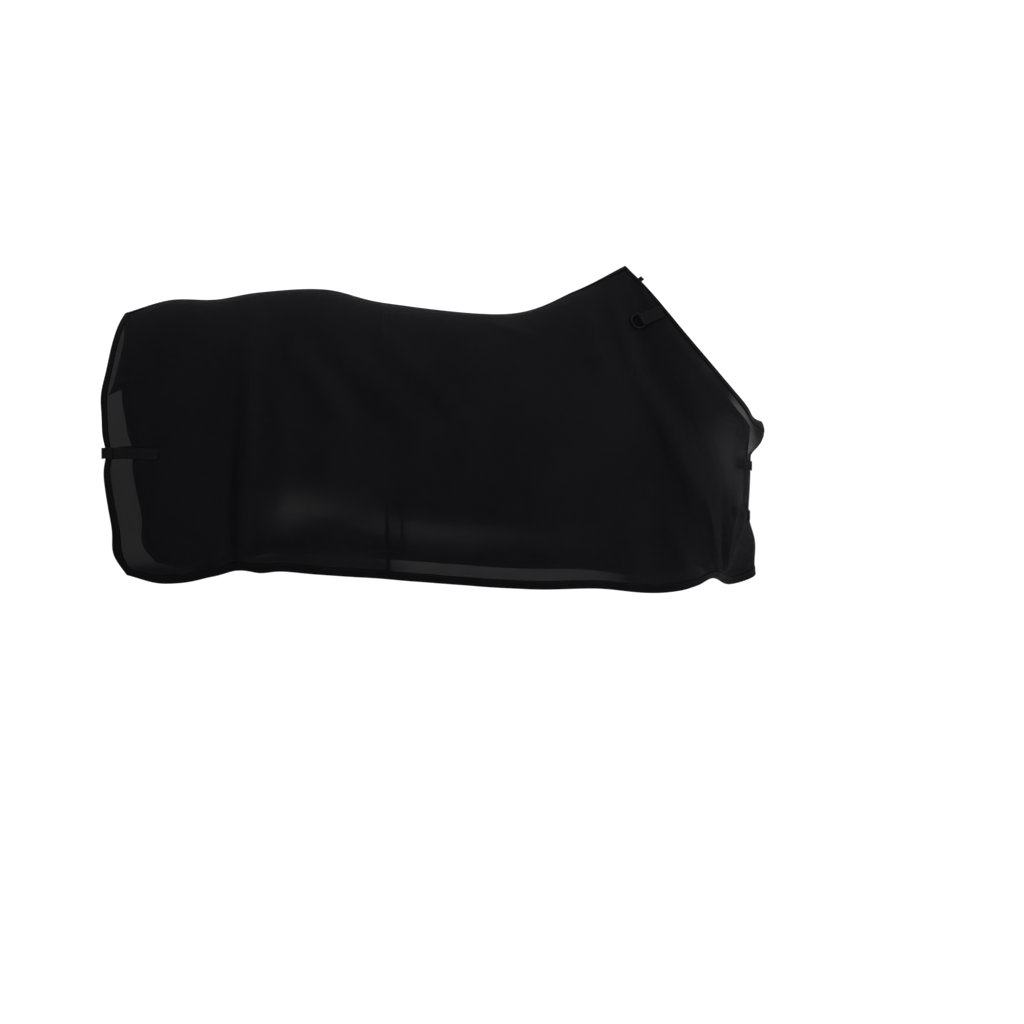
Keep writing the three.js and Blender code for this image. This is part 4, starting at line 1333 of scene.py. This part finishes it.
for side in SIDES.values():
    for edge in EDGE_COLUMNS:
        edge_stitches(side, edge)
    a = np.linspace(*BACK_STITCHED, 400)
    u = u_at_length(a * length_at_u(WITHERS_AT))
    for inset in BACK_ROWS:
        t = top_share(u, inset)
        row_marks("sheet", cloth(side, u, t, TAPE_FACE + BACK_ROW_LIFT), outward(side, u, t))
    for across in FLANK_ROWS:
        t = np.linspace(*FLANK_STITCHED, 300)
        u = np.full(len(t), u_at_length(length_at_u(SEAM_AT) + across))
        row_marks("sheet", cloth(side, u, t, FLANK_ROW_LIFT), outward(side, u, t))

down = np.full(FLAP_POINTS, 1 - STITCH_INSET / FLAP_SIDE_DROP)
across = np.linspace(-FLAP_STITCHED, FLAP_STITCHED, FLAP_POINTS)
flap_off = flap_surface(across, down, FLAP_STEP) - flap_surface(across, down)
row_marks("tail_flap", flap_surface(across, down, TAPE_FACE + THREAD_LIFT), flap_off)

for side, (path, across) in tab_ends.items():
    normal = unit(np.cross(tangents(path, False), across))
    normal *= np.sign(normal[:, 1:2] * side)
    skin = WEBBING_THICKNESS / 2 + THREAD_LIFT
    inner = 0.5 * TAIL_STRAP_WIDTH - TAB_BOX_INSET
    for first, last in TAB_BOXES:
        in_order = ((first, 1), (first, -1), (last, -1), (last, 1))
        corners = [path[k] + s * inner * across[k] + skin * normal[k] for k, s in in_order]
        box_stitch("sheet", corners, normal[(first + last) // 2])


def beads(marks):
    """One bead is doubled until there are enough of them, then each is laid on its mark."""
    bm = bmesh.new()
    number_of = bm.verts.layers.int.new("bead")
    bmesh.ops.create_uvsphere(bm, u_segments=6, v_segments=4, radius=1)
    made = 1
    while made < len(marks):
        more = min(made, len(marks) - made)
        source = [v for v in bm.verts if v[number_of] < more]
        kept = set(source)
        faces = [f for f in bm.faces if f.verts[0] in kept]
        edges = [e for e in bm.edges if e.verts[0] in kept]
        copies = bmesh.ops.duplicate(bm, geom=source + edges + faces)["geom"]
        for vert in (g for g in copies if isinstance(g, bmesh.types.BMVert)):
            vert[number_of] += made
        made += more
    middle, along, off, length, thread = (np.array(v, float) for v in zip(*marks))
    across = np.cross(off, along)
    size = np.column_stack([length / 2, thread * BEAD_WIDTH, thread * BEAD_HEIGHT])
    which = np.array([v[number_of] for v in bm.verts])
    scaled = np.array([v.co for v in bm.verts]) * size[which]
    laid = middle[which]
    for k, way in enumerate((along, across, off)):
        laid = laid + scaled[:, k:k + 1] * way[which]
    for vert, point in zip(bm.verts, laid):
        vert.co = point
    return bm


STITCH_NAMES = {"sheet": "sheet_stitches", "tail_flap": "tail_flap_stitches"}
for body, marks in stitch_marks.items():
    piece = finish_piece(STITCH_NAMES[body], beads(marks), thread_material, recalc=False)
    dress(piece, body)
    print(STITCH_NAMES[body], len(marks), "stitches")

# %% [markdown]
# ## Cloth sizes
# Each panel is a sheet of cloth cut to about the size it measures here, because the folds are shallow
# and knitted mesh is not stretched over the horse. Below, each panel's name is split into its part and side.

for node_name, piece in panels.items():
    part, _, side_name = node_name.split("_")
